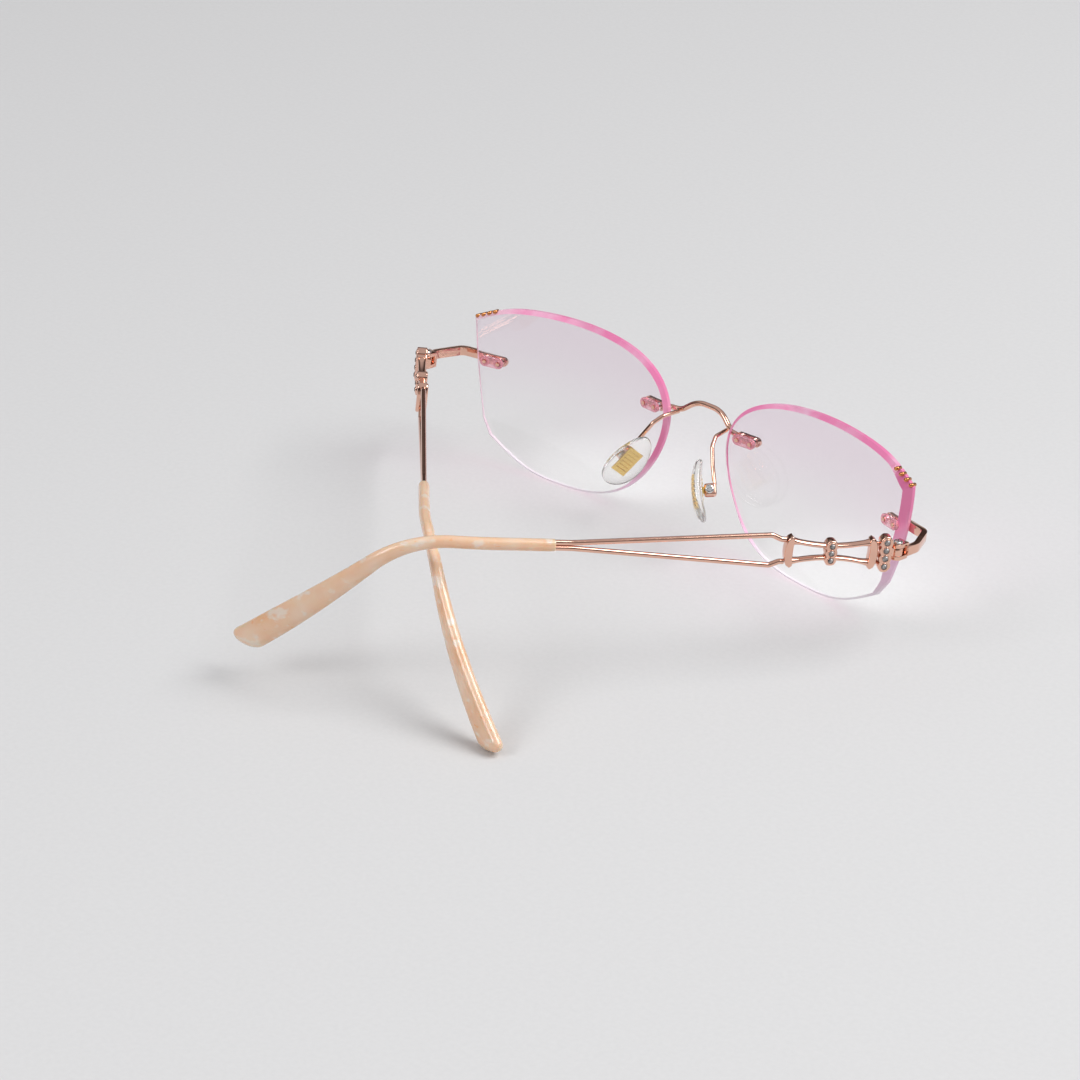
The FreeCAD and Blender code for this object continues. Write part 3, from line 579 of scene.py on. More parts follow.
@made_once("lens_tint")
def lens_glass(material, nodes, links, shader):
    """Clear lens with a mauve tint that fades towards the bottom."""
    shader.inputs["Transmission Weight"].default_value = 1.0
    shader.inputs["IOR"].default_value = 1.5
    fade = ramp_between(nodes, links, object_axes(nodes, links)["Z"], -12 * MM, 17 * MM)
    tint = blend_colours(nodes, links, fade, (1, 1, 1, 1), tuple(colours().lens_top))
    links.new(tint, shader.inputs["Base Color"])
    film = speckle(nodes, 60.0, 0.0, 0.003)
    links.new(film.outputs["Value"], shader.inputs["Roughness"])
    clear_shadow(material, shader, tint)


@made_once("lens_edge_pink")
def bevel_glass(material, nodes, links, shader):
    """The polished pink edge: strong at the top and by the nose, pale below; at the left lens's outer side
    it is paled by a painted reflection.
    """
    shader.inputs["Transmission Weight"].default_value = 0.15
    shader.inputs["IOR"].default_value = 1.5
    axes = object_axes(nodes, links)
    across = maths(material.node_tree, "ABSOLUTE", axes["X"])
    nasal_lift = ramp_between(nodes, links, across, 12 * MM, 28 * MM, 9 * MM, 0.0)
    height = maths(material.node_tree, "ADD", axes["Z"], nasal_lift)
    pale = (0.94, 0.88, 0.94, 1)
    lilac = (0.98, 0.64, 0.84, 1)
    facets = speckle(nodes, 95.0, -0.6, 0.9, (1, 1, 0.5))
    hot = blend_colours(nodes, links, facets.outputs["Value"], tuple(colours().bevel_pink),
                        (1.0, 0.64, 0.82, 1))
    lower = ramp_between(nodes, links, height, -15 * MM, -6 * MM)
    upper = ramp_between(nodes, links, height, -6 * MM, 4 * MM)
    faint = blend_colours(nodes, links, lower, pale, lilac)
    pink = blend_colours(nodes, links, upper, faint, hot)
    # Painted reflection: the outer side of the left lens alone is paled towards whitish pink.
    painted_reflection_left = ramp_between(nodes, links, axes["X"], 50 * MM, 61 * MM, 0.0, 0.8)
    edge = blend_colours(nodes, links, painted_reflection_left, pink, (0.97, 0.80, 0.87, 1))
    links.new(edge, shader.inputs["Base Color"])
    film = speckle(nodes, 300.0, 0.02, 0.05)
    links.new(film.outputs["Value"], shader.inputs["Roughness"])
    clear_shadow(material, shader, (0.97, 0.80, 0.87, 1))


def clear_plastic(name, colour, low, high, transmission=1.0, ior=1.45, shadow=(0.9, 0.88, 0.89, 1)):
    if name in bpy.data.materials:
        return bpy.data.materials[name]
    material, nodes, links, shader = new_material(name)
    shader.inputs["Transmission Weight"].default_value = transmission
    shader.inputs["IOR"].default_value = ior
    film = speckle(nodes, 500.0, low, high)
    links.new(film.outputs["Value"], shader.inputs["Roughness"])
    haze = speckle(nodes, 180.0, 0.0, 1.0)
    deep = [channel * 0.95 for channel in colour[:3]] + [1]
    links.new(blend_colours(nodes, links, haze.outputs["Value"], deep, colour), shader.inputs["Base Color"])
    clear_shadow(material, shader, shadow)
    return material


@made_once("grey_crystal")
def grey_crystal(material, nodes, links, shader):
    shader.inputs["Transmission Weight"].default_value = 0.1
    shader.inputs["IOR"].default_value = 2.1
    shade = speckle(nodes, 2600.0, 0.0, 1.0)
    grey = blend_colours(nodes, links, shade.outputs["Value"], (0.02, 0.02, 0.02, 1), (0.42, 0.39, 0.38, 1))
    links.new(grey, shader.inputs["Base Color"])
    gloss = speckle(nodes, 900.0, 0.02, 0.08)
    links.new(gloss.outputs["Value"], shader.inputs["Roughness"])


@made_once("pearl_acetate")
def pearl_acetate(material, nodes, links, shader):
    """Peach acetate with pearl flakes and a few warm streaks."""
    clouds = speckle(nodes, 140.0, 0.0, 1.0)
    pale = (0.95, 0.72, 0.55, 1)
    peach = blend_colours(nodes, links, clouds.outputs["Value"], pale, tuple(colours().acetate))
    flakes = speckle(nodes, 260.0, 0.0, 1.0, (1, 1, 1.6))
    flake_mask = nodes.new("ShaderNodeMapRange")
    flake_mask.inputs["From Min"].default_value = 0.57
    flake_mask.inputs["From Max"].default_value = 0.66
    flake_mask.inputs["To Max"].default_value = 0.75
    links.new(flakes.outputs["Mask"], flake_mask.inputs["Value"])
    pearl = blend_colours(nodes, links, flake_mask.outputs["Result"], peach, (0.93, 0.84, 0.76, 1))
    streaks = speckle(nodes, 700.0, 0.0, 1.0, (0.6, 0.6, 1.8))
    streak_mask = nodes.new("ShaderNodeMapRange")
    streak_mask.inputs["From Min"].default_value = 0.66
    streak_mask.inputs["From Max"].default_value = 0.72
    streak_mask.inputs["To Max"].default_value = 0.6
    links.new(streaks.outputs["Mask"], streak_mask.inputs["Value"])
    warm = blend_colours(nodes, links, streak_mask.outputs["Result"], pearl, (0.95, 0.40, 0.16, 1))
    links.new(warm, shader.inputs["Base Color"])
    shader.inputs["Subsurface Weight"].default_value = 0.55
    shader.inputs["Subsurface Radius"].default_value = (1.0, 0.6, 0.4)
    shader.inputs["Subsurface Scale"].default_value = 1.5 * MM
    shader.inputs["Transmission Weight"].default_value = 0.12
    shader.inputs["Coat Weight"].default_value = 0.5
    shader.inputs["Coat Roughness"].default_value = 0.04
    gloss = speckle(nodes, 200.0, 0.12, 0.22)
    links.new(gloss.outputs["Value"], shader.inputs["Roughness"])


def studio_floor():
    material, nodes, links, shader = new_material("studio_floor")
    shader.inputs["Roughness"].default_value = 0.75
    shader.inputs["Specular IOR Level"].default_value = 0.2
    tone = speckle(nodes, 900.0, 0.0, 1.0)
    colour = colours().floor
    deep = [channel * 0.97 for channel in colour[:3]] + [1]
    links.new(blend_colours(nodes, links, tone.outputs["Value"], deep, tuple(colour)),
              shader.inputs["Base Color"])
    return material


# ---------------------------------------------------------------- geometry node trees
def grow_tree(name, sockets):
    """A geometry tree with named inputs; returns it with its ends."""
    tree = bpy.data.node_groups.new(name, "GeometryNodeTree")
    for label, kind, value in sockets:
        socket = tree.interface.new_socket(label, in_out="INPUT", socket_type=kind)
        if value is not None:
            socket.default_value = value
    tree.interface.new_socket("Material", in_out="INPUT", socket_type="NodeSocketMaterial")
    tree.interface.new_socket("Geometry", in_out="OUTPUT", socket_type="NodeSocketGeometry")
    return tree, tree.nodes.new("NodeGroupInput").outputs, tree.nodes.new("NodeGroupOutput").inputs


def node_chain(tree, source, *kinds):
    """Adds nodes in a row after a geometry socket and returns the last geometry socket."""
    for kind in kinds:
        node = tree.nodes.new(kind)
        tree.links.new(source, node.inputs[0])
        source = node.outputs[0]
    return source


def finish_tree(tree, geometry, inputs, outputs):
    """Realizes the instances and sets the material."""
    solid = node_chain(tree, geometry, "GeometryNodeRealizeInstances")
    paint = tree.nodes.new("GeometryNodeSetMaterial")
    tree.links.new(solid, paint.inputs["Geometry"])
    tree.links.new(inputs["Material"], paint.inputs["Material"])
    tree.links.new(paint.outputs[0], outputs["Geometry"])


def upward(tree, length):
    """A vector of the given length along Z."""
    vector = tree.nodes.new("ShaderNodeCombineXYZ")
    tree.links.new(length, vector.inputs["Z"])
    return vector.outputs[0]


def row_of(tree, inputs):
    """Points in a row along local Z, centred on the origin."""
    span = maths(tree, "MULTIPLY", maths(tree, "SUBTRACT", inputs["Count"], 1), inputs["Pitch"])
    line = tree.nodes.new("GeometryNodeMeshLine")
    tree.links.new(inputs["Count"], line.inputs["Count"])
    tree.links.new(upward(tree, maths(tree, "MULTIPLY", span, -0.5)), line.inputs["Start Location"])
    tree.links.new(upward(tree, inputs["Pitch"]), line.inputs["Offset"])
    return line.outputs[0]


def repeat_in_row(tree, inputs, outputs, piece):
    """Puts the piece on each point of the row and finishes the tree."""
    spread = tree.nodes.new("GeometryNodeInstanceOnPoints")
    tree.links.new(row_of(tree, inputs), spread.inputs["Points"])
    tree.links.new(piece, spread.inputs["Instance"])
    finish_tree(tree, spread.outputs[0], inputs, outputs)


def laid_over(tree, piece):
    """The piece turned so that its own Z points along the row tree's Y."""
    turned = tree.nodes.new("GeometryNodeTransform")
    turned.inputs["Rotation"].default_value = (math.radians(-90), 0, 0)
    tree.links.new(piece, turned.inputs["Geometry"])
    return turned.outputs[0]


def stone_tree():
    """A row of cut stones: a faceted crown with a flat table over a short pavilion."""
    if "Stone Row" in bpy.data.node_groups:
        return bpy.data.node_groups["Stone Row"]
    tree, inputs, outputs = grow_tree("Stone Row", [
        ("Count", "NodeSocketInt", 4), ("Pitch", "NodeSocketFloat", STONE_PITCH),
        ("Radius", "NodeSocketFloat", 0.68 * MM), ("Rise", "NodeSocketFloat", 0.3 * MM),
        ("Table", "NodeSocketFloat", 0.4 * MM)])
    crown = tree.nodes.new("GeometryNodeMeshCone")
    crown.inputs["Vertices"].default_value = 8
    tree.links.new(inputs["Table"], crown.inputs["Radius Top"])
    tree.links.new(inputs["Radius"], crown.inputs["Radius Bottom"])
    tree.links.new(inputs["Rise"], crown.inputs["Depth"])
    repeat_in_row(tree, inputs, outputs, laid_over(tree, crown.outputs["Mesh"]))
    return tree


def ring_tree():
    """A row of round wire rings, the settings that hold the stones."""
    if "Ring Row" in bpy.data.node_groups:
        return bpy.data.node_groups["Ring Row"]
    tree, inputs, outputs = grow_tree("Ring Row", [
        ("Count", "NodeSocketInt", 4), ("Pitch", "NodeSocketFloat", STONE_PITCH),
        ("Radius", "NodeSocketFloat", 0.75 * MM), ("Wire", "NodeSocketFloat", 0.13 * MM)])
    hoop = tree.nodes.new("GeometryNodeCurvePrimitiveCircle")
    hoop.inputs["Resolution"].default_value = 32
    tree.links.new(inputs["Radius"], hoop.inputs["Radius"])
    profile = tree.nodes.new("GeometryNodeCurvePrimitiveCircle")
    profile.inputs["Resolution"].default_value = 10
    tree.links.new(inputs["Wire"], profile.inputs["Radius"])
    swept = tree.nodes.new("GeometryNodeCurveToMesh")
    tree.links.new(hoop.outputs["Curve"], swept.inputs["Curve"])
    tree.links.new(profile.outputs["Curve"], swept.inputs["Profile Curve"])
    repeat_in_row(tree, inputs, outputs, laid_over(tree, swept.outputs[0]))
    return tree


def bead_tree():
    """A row of pins with domed ends, lying along local Y."""
    if "Bead Row" in bpy.data.node_groups:
        return bpy.data.node_groups["Bead Row"]
    tree, inputs, outputs = grow_tree("Bead Row", [
        ("Count", "NodeSocketInt", 4), ("Pitch", "NodeSocketFloat", BEAD_SPACING),
        ("Radius", "NodeSocketFloat", 0.5 * MM), ("Length", "NodeSocketFloat", 2.6 * MM)])
    shank = tree.nodes.new("GeometryNodeMeshCylinder")
    shank.inputs["Vertices"].default_value = 24
    tree.links.new(inputs["Radius"], shank.inputs["Radius"])
    tree.links.new(inputs["Length"], shank.inputs["Depth"])
    ball = tree.nodes.new("GeometryNodeMeshUVSphere")
    ball.inputs["Segments"].default_value = 24
    ball.inputs["Rings"].default_value = 12
    tree.links.new(inputs["Radius"], ball.inputs["Radius"])
    join = tree.nodes.new("GeometryNodeJoinGeometry")
    tree.links.new(shank.outputs["Mesh"], join.inputs[0])
    for share in (0.5, -0.5):
        at = upward(tree, maths(tree, "MULTIPLY", inputs["Length"], share))
        shift = tree.nodes.new("GeometryNodeTransform")
        shift.inputs["Scale"].default_value = (1, 1, 0.55)
        tree.links.new(ball.outputs["Mesh"], shift.inputs["Geometry"])
        tree.links.new(at, shift.inputs["Translation"])
        tree.links.new(shift.outputs[0], join.inputs[0])
    smooth = tree.nodes.new("GeometryNodeSetShadeSmooth")
    tree.links.new(join.outputs[0], smooth.inputs["Geometry"])
    repeat_in_row(tree, inputs, outputs, laid_over(tree, smooth.outputs[0]))
    return tree


def rib_tree():
    """A row of narrow raised bars lying along local Y."""
    if "Rib Row" in bpy.data.node_groups:
        return bpy.data.node_groups["Rib Row"]
    tree, inputs, outputs = grow_tree("Rib Row", [
        ("Count", "NodeSocketInt", 8), ("Pitch", "NodeSocketFloat", 0.62 * MM),
        ("Bar", "NodeSocketVector", (0.4 * MM, 2.5 * MM, 0.4 * MM))])
    bar = tree.nodes.new("GeometryNodeMeshCube")
    tree.links.new(inputs["Bar"], bar.inputs["Size"])
    repeat_in_row(tree, inputs, outputs, bar.outputs["Mesh"])
    return tree


def grown(tree, name, matrix, material, **values):
    """Runs a tree with the given inputs and returns its result as a plain mesh in its place."""
    seed = bpy.data.objects.new(name + "_seed", bpy.data.meshes.new(name + "_seed"))
    bpy.context.scene.collection.objects.link(seed)
    modifier = seed.modifiers.new("Grow", "NODES")
    modifier.node_group = tree
    wanted = {key.replace("_", " ").title(): value for key, value in values.items()}
    wanted["Material"] = material
    for item in tree.interface.items_tree:
        if item.in_out == "INPUT" and item.name in wanted:
            modifier[item.identifier] = wanted[item.name]
    result = baked(seed, name)
    result.data.transform(matrix)
    result.data.update()
    return result


# ---------------------------------------------------------------- lenses
def lens_point(share):
    return (share[0] * LENS_WIDTH / 2, share[1] * LENS_HEIGHT / 2)


def lens_outline():
    """The lens edge as evenly dense points, mirrored for the right lens by the caller."""
    curved = spline_through([lens_point(share) for share in ROUND_STRETCH], 220)
    facet = np.linspace(lens_point(FACET_BOTTOM), lens_point(FACET_TOP), 12)
    outer = arc_through(lens_point(FACET_TOP), lens_point(OUTER_SIDE), lens_point(OUTER_CORNER), 48)
    return np.concatenate([curved[:-1], facet[:-1], outer[:-1]])


def sphere_depth(radius, x, y):
    return math.sqrt(radius ** 2 - x ** 2 - y ** 2) - LENS_RADIUS


def edge_bevel(side, x, y):
    """Bevel width and height here: wide down the right lens's outer side, narrow elsewhere."""
    outer = smoothstep(0.70, 0.93, x / (LENS_WIDTH / 2)) * smoothstep(-0.75, -0.2, y / (LENS_HEIGHT / 2))
    low = 1 - 0.45 * smoothstep(-0.35, -0.8, y / (LENS_HEIGHT / 2))
    widen = 1.5 if side < 0 else 0.0
    return sizes().bevel_width * (low + widen * outer), sizes().bevel_height * (low + 0.3 * outer)


def inward_normals(outline):
    """The unit direction into the lens at each outline point."""
    ahead = np.roll(outline, -1, axis=0) - np.roll(outline, 1, axis=0)
    normals = np.stack([-ahead[:, 1], ahead[:, 0]], axis=1)
    normals /= np.hypot(*normals.T)[:, None]
    if np.mean(np.sum(normals * outline, axis=1)) > 0:
        normals = -normals
    return normals


def set_in(outline, widths):
    """The outline moved inward by its widths; past a corner the moved points stay on the mitre."""
    moved_in = outline + inward_normals(outline) * widths[:, None]
    gaps = np.linalg.norm(moved_in[:, None, :] - outline[None, :, :], axis=2).min(axis=1)
    kept = np.flatnonzero(gaps > widths * 0.985)
    count = len(outline)
    wrapped = np.concatenate([kept - count, kept, kept + count])
    at = np.arange(count)
    return np.stack([np.interp(at, wrapped, np.tile(moved_in[kept, axis], 3)) for axis in (0, 1)], axis=1)


def lens_rings(side):
    outline = lens_outline()
    inwards = inward_normals(outline)
    back_radius = LENS_RADIUS - LENS_THICKNESS
    shares = [0.02, 0.1, 0.2, 0.3, 0.4, 0.5, 0.6, 0.7, 0.8, 0.88, 0.94]
    rings = []
    front_edge = outline + inwards * EDGE_CHAMFER
    for share in shares + [1.0]:
        rings.append([(x, y, sphere_depth(LENS_RADIUS, x, y)) for x, y in front_edge * share])
    bevels = [edge_bevel(side, x, y) for x, y in outline]
    inner_xy = set_in(outline, np.array([width for width, height in bevels]))
    wall_top = [(x, y, sphere_depth(LENS_RADIUS, x, y) - EDGE_CHAMFER) for x, y in outline]
    wall_foot = [(x, y, sphere_depth(back_radius, x, y) + height) for (x, y), (width, height)
                 in zip(outline, bevels)]
    inner = [(x, y, sphere_depth(back_radius, x, y)) for x, y in inner_xy]
    rings += [wall_top, wall_foot, inner]
    rim_rows = range(len(rings) - 4, len(rings) - 1)
    for share in reversed(shares):
        rings.append([(x, y, sphere_depth(back_radius, x, y)) for x, y in inner_xy * share])
    return [[(side * x, y, z) for x, y, z in ring] for ring in rings], rim_rows, len(outline)


def cutter(name, radius, at, length=8 * MM):
    """A round rod along local Z, used only to cut."""
    return rings_object(name, [moved(circle(radius, z, 32), at) for z in (-length / 2, length / 2)])


def foot_matrix(side, out, up):
    """On the lens front: Z is the surface normal, X runs along the lens, Y up it."""
    yaw = math.asin(side * out / LENS_RADIUS)
    pitch = -math.asin(up / LENS_RADIUS)
    return (Matrix.Translation((0, 0, -LENS_RADIUS)) @ Matrix.Rotation(yaw, 4, "Y")
            @ Matrix.Rotation(pitch, 4, "X") @ Matrix.Translation((0, 0, LENS_RADIUS)))


def bead_row(side):
    """Middle and direction of the row of beads, in the lens frame."""
    corner = Vector(lens_point(OUTER_CORNER)).to_3d()
    inwards = (Vector(lens_point(ROUND_STRETCH[1])).to_3d() - corner).normalized()
    middle = corner + inwards * BEAD_SPACING * ((BEAD_COUNT - 1) / 2 + BEAD_LEAD)
    middle.z = sphere_depth(LENS_RADIUS - LENS_THICKNESS / 2, middle.x, middle.y)
    middle.x *= side
    inwards.x *= side
    return middle, inwards


def make_lens(name, side):
    rings, rim_rows, count = lens_rings(side)
    thing = rings_object(f"lens_{name}_blank", rings, 20.0)
    rim_faces = {row * count + i for row in rim_rows for i in range(count)}
    for index, polygon in enumerate(thing.data.polygons):
        polygon.material_index = 1 if index in rim_faces else 0
    cutters = []
    for out, up in (NASAL_HOLES, TEMPORAL_HOLES):
        for sign in (-1, 1):
            hole = Matrix.Translation((sign * HOLE_SPACING / 2, 0, -LENS_THICKNESS / 2))
            at = foot_matrix(side, out, up) @ hole
            cutters.append(cutter(f"hole_{name}_{len(cutters)}", HOLE_RADIUS, at))
    middle, inwards = bead_row(side)
    for i in range(BEAD_COUNT):
        at = Matrix.Translation(middle + inwards * BEAD_SPACING * (i - (BEAD_COUNT - 1) / 2))
        cutters.append(cutter(f"notch_{name}_{i}", sizes().bead_radius * NOTCH_EASE, at))
    for material in (lens_glass(), bevel_glass()):
        thing.data.materials.append(material)
    result = carved(thing, cutters, f"lens_{name}_polished")
    result.data.transform(lens_matrix(side))
    result.data.set_sharp_from_angle(angle=math.radians(20))
    return as_piece(result, "front", (), [f"lens_{name}"])


class EYEWEAR_OT_lenses(bpy.types.Operator):
    """Make both lenses with their polished pink bevels, wire holes and bead notches"""
    bl_idname = "eyewear.lenses"
    bl_label = "Lenses"

    def execute(self, context):
        for name, side in SIDES.items():
            make_lens(name, side)
        return {"FINISHED"}


def make_washer(name, side, holes, material):
    """The clear washer behind the lens that ties two sleeves together."""
    at = lens_matrix(side) @ foot_matrix(side, *holes)
    steps = 16
    half = HOLE_SPACING / 2
    edge = []
    for i in range(2 * steps):
        first = i < steps
        turn = math.pi * ((i if first else i - steps) / (steps - 0.5) + (-0.5 if first else 0.5))
        middle = half if first else -half
        edge.append((middle + WASHER_RADIUS * math.cos(turn), WASHER_RADIUS * math.sin(turn)))
    shares = ((0.94, WASHER_BACK), (1.0, WASHER_BACK + EDGE_CHAMFER), (1.0, WASHER_FRONT))
    rings = [[(x * share, y * share, z) for x, y in edge] for share, z in shares]
    blank = rings_object(name + "_blank", rings, 30.0)
    tools = [cutter(f"{name}_bore_{sign}", WASHER_BORE,
                    Matrix.Translation((sign * half, 0, WASHER_MIDDLE)), 3 * MM) for sign in (-1, 1)]
    result = carved(blank, tools, name)
    result.data.transform(at)
    result.data.set_sharp_from_angle(angle=math.radians(35))
    result.data.materials.clear()
    return as_piece(result, "front", [material])


class EYEWEAR_OT_beads(bpy.types.Operator):
    """Set a row of gilt beads in each lens edge and dress the clear sleeves"""
    bl_idname = "eyewear.beads"
    bl_label = "Beads and sleeves"

    def execute(self, context):
        sleeve = clear_plastic("sleeve_plastic", (0.99, 0.66, 0.72, 1), 0.02, 0.08, 0.8)
        for name, side in SIDES.items():
            middle, inwards = bead_row(side)
            forward = Vector((0, 0, 1))
            row = matrix_from(middle, inwards.cross(forward).normalized(), inwards)
            beads = grown(bead_tree(), f"edge_beads_{name}", lens_matrix(side) @ row, bead_gold(),
                          count=BEAD_COUNT, pitch=BEAD_SPACING, radius=sizes().bead_radius,
                          length=BEAD_LENGTH)
            as_piece(beads, "front", (), [f"lens_beads_{name}"])
            for place, holes in (("nasal", NASAL_HOLES), ("temporal", TEMPORAL_HOLES)):
                dress(f"sleeves_{place}_{name}", sleeve)
                make_washer(f"washer_{place}_{name}", side, holes, sleeve)
        return {"FINISHED"}


def dress(node, material):
    """Gives a CAD node its material."""
    thing = frame["nodes"][node]
    thing.data.materials.clear()
    thing.data.materials.append(material)


# ---------------------------------------------------------------- front metalwork
class EYEWEAR_OT_front_metal(bpy.types.Operator):
    """Plate the bridge, and round and plate the pad arms and the endpieces"""
    bl_idname = "eyewear.front_metal"
    bl_label = "Bridge, arms and endpieces"

    def execute(self, context):
        dress("bridge", rose_gold())
        for name in SIDES:
            for node, width in ((f"pad_arm_{name}", 0.18 * MM), (f"endpiece_{name}", 0.14 * MM)):
                thing = softened(node, width)
                as_piece(thing, "front", [rose_gold()], [node])
        return {"FINISHED"}


def screw_rings(radius, rise, shank_radius, shank_length, count=48):
    """A domed head on a plain shank, in rings from the shank's end to the head's crown."""
    levels = [(shank_radius * 0.9, -shank_length), (shank_radius, -shank_length + 0.05 * MM),
              (shank_radius, 0.0), (radius * 0.94, 0.0), (radius, rise * 0.15), (radius, rise * 0.45),
              (radius * 0.93, rise * 0.75), (radius * 0.78, rise * 0.93), (radius * 0.5, rise * 1.02),
              (radius * 0.1, rise * 1.05)]
    return [circle(r, z, count) for r, z in levels]


def slot_cutter(name, length, width, depth, top, turn):
    half = (length / 2, width / 2)
    outline = [(half[0], half[1]), (-half[0], half[1]), (-half[0], -half[1]), (half[0], -half[1])]
    at = Matrix.Rotation(turn, 4, "Z")
    rings = [moved([(x, y, z) for x, y in outline], at) for z in (top - depth, top + depth)]
    return rings_object(name, rings)


def make_screw(name, matrix, radius, rise, shank, slots, node, body):
    thing = rings_object(name + "_blank", screw_rings(radius, rise, *shank), 40.0)
    tools = [slot_cutter(f"{name}_slot_{i}", radius * 1.45, SLOT_WIDTH, rise * 0.75, rise * 1.05, turn)
             for i, turn in enumerate(slots)]
    result = carved(thing, tools, name)
    result.data.transform(matrix)
    result.data.set_sharp_from_angle(angle=math.radians(35))
    result.data.materials.clear()
    return as_piece(result, body, [screw_steel()], [node])


class EYEWEAR_OT_screws(bpy.types.Operator):
    """Turn the hinge screws and the cross-head pad screws"""
    bl_idname = "eyewear.screws"
    bl_label = "Screws"

    def execute(self, context):
        for name, side in SIDES.items():
            half = BOX_WIDTH / 2
            at = pad_matrix(side) @ Matrix.Rotation(side * math.radians(90), 4, "X")
            at = at @ Matrix.Translation((0, 0, half + FIT_GAP))
            make_screw(f"pad_screw_{name}_turned", at, HEAD_RADIUS, HEAD_RISE, (PAD_PIN_RADIUS, 2 * half),
                       CROSS_TURNS, f"pad_screw_{name}", "front")
            top = KNUCKLE_HEIGHT / 2 + KNUCKLE_GAP + FORK_HEIGHT
            at = hinge_matrix(side) @ Matrix.Translation((0, 0, HINGE_LEVEL + top + FIT_GAP))
            make_screw(f"hinge_screw_{name}_turned", at, HEAD_RADIUS, HEAD_RISE, (HINGE_PIN_RADIUS, 2 * top),
                       SLOT_TURNS, f"hinge_screw_{name}", "front")
        return {"FINISHED"}


# ---------------------------------------------------------------- nose pads
def pad_rings(count=72, rows=22):
    """A soft oval lens of silicone: domed towards the nose, thin-lipped, its ends bowed back."""
    half_length, half_width, half_depth = PAD_HALF_SIZE
    rings = []
    for row in range(1, rows):
        angle = -math.pi / 2 + math.pi * row / rows
        spread = math.cos(angle) ** 0.45
        lift = math.copysign(abs(math.sin(angle)) ** 0.9, angle) * half_depth
        ring = []
        for i in range(count):
            turn = 2 * math.pi * i / count
            taper = 1 + 0.10 * math.cos(turn)
            x = half_length * spread * math.cos(turn)
            y = half_width * spread * math.sin(turn) * taper
            bow = PAD_BOW * (x / half_length) ** 2
            ring.append((x, y, PAD_STANDOFF + half_depth + lift - bow))
        rings.append(ring)
    return rings


class EYEWEAR_OT_nose_pads(bpy.types.Operator):
    """Cast the silicone nose pads round their gilt inserts"""
    bl_idname = "eyewear.nose_pads"
    bl_label = "Nose pads"

    def execute(self, context):
        silicone = clear_plastic("clear_silicone", (1.0, 1.0, 0.99, 1), 0.01, 0.05, 0.92, 1.45,
                                 (0.93, 0.93, 0.93, 1))
        for name, side in SIDES.items():
            matrix = pad_matrix(side)
            rings = [moved(ring, matrix) for ring in pad_rings()]
            pad = rings_object(f"nose_pad_{name}_cast", rings, 60.0)
            as_piece(pad, f"nose_pad_{name}", [silicone], [f"nose_pad_{name}"])
            insert = softened(f"pad_insert_{name}", 0.08 * MM)
            as_piece(insert, f"nose_pad_{name}", [yellow_gold()], [f"pad_insert_{name}"])
            for face, level in (("back", PAD_STANDOFF), ("front", PAD_STANDOFF + INSERT_DEPTH)):
                row = Matrix.Translation((0, 0, level)) @ Matrix.Rotation(math.radians(90), 4, "Y")
                ribs = grown(rib_tree(), f"insert_ribs_{face}_{name}", matrix @ row, yellow_gold(),
                             count=RIB_COUNT, pitch=sizes().rib_pitch)
                as_piece(ribs, f"nose_pad_{name}")
        return {"FINISHED"}


# ---------------------------------------------------------------- temples
def bar_object(name, outline, depth, side, matrix, edge):
    """A flat outline in the temple's side view, thickened through its depth, with rounded edges."""
    centre = sum((Vector(point) for point in outline), Vector((0, 0))) / len(outline)
    levels = []
    steps = 5
    for i in range(steps + 1):
        turn = math.pi / 2 * i / steps
        levels.append((edge * (1 - math.sin(turn)), -depth / 2 + edge * (1 - math.cos(turn))))
    levels += [(inset, -level) for inset, level in reversed(levels)]
    rings = []
    for inset, level in levels:
        ring = []
        for x, z in outline:
            away = Vector((x, z)) - centre
            pull = min(inset / max(away.length, 1e-9), 0.9)
            px, pz = x - away.x * pull, z - away.y * pull
            ring.append((px, outward(side, TEMPLE_OFFSET) + level, pz))
        rings.append(moved(ring, matrix))
    return rings_object(name, rings, 40.0)


def crescent_outline(middle, length, height, bow, facing, count=16):
    """An upright bar bowed along the temple: thick in the middle, narrow at its ends."""
    edge_out, edge_in = [], []
    for i in range(count + 1):
        v = -1 + 2 * i / count
        z = HINGE_LEVEL + v * height / 2
        sweep = bow * (1 - v * v) * facing
        half = length / 2 * (1 - 0.28 * v * v) * math.sqrt(max(1 - abs(v) ** 12, 0.02))
        base = middle - facing * bow / 2
        edge_out.append((base + sweep + half, z))
        edge_in.append((base + sweep - half, z))
    return edge_out + edge_in[::-1]


def scalloped_outline(middle, length, count, pitch, steps=16):
    """A vertical collar with one round lobe for each stone."""
    half_height = count * pitch / 2 + 0.4 * MM
    right, left = [], []
    total = count * steps
    for i in range(total + 1):
        v = -1 + 2 * i / total
        z = v * half_height
        lobe = abs(math.cos(math.pi * (z / pitch + (0.5 if count % 2 == 0 else 0.0))))
        half = length / 2 * (0.80 + 0.20 * lobe) * math.sqrt(max(1 - abs(v) ** 10, 0.05))
        right.append((middle + half, HINGE_LEVEL + z))
        left.append((middle - half, HINGE_LEVEL + z))
    return right + left[::-1]


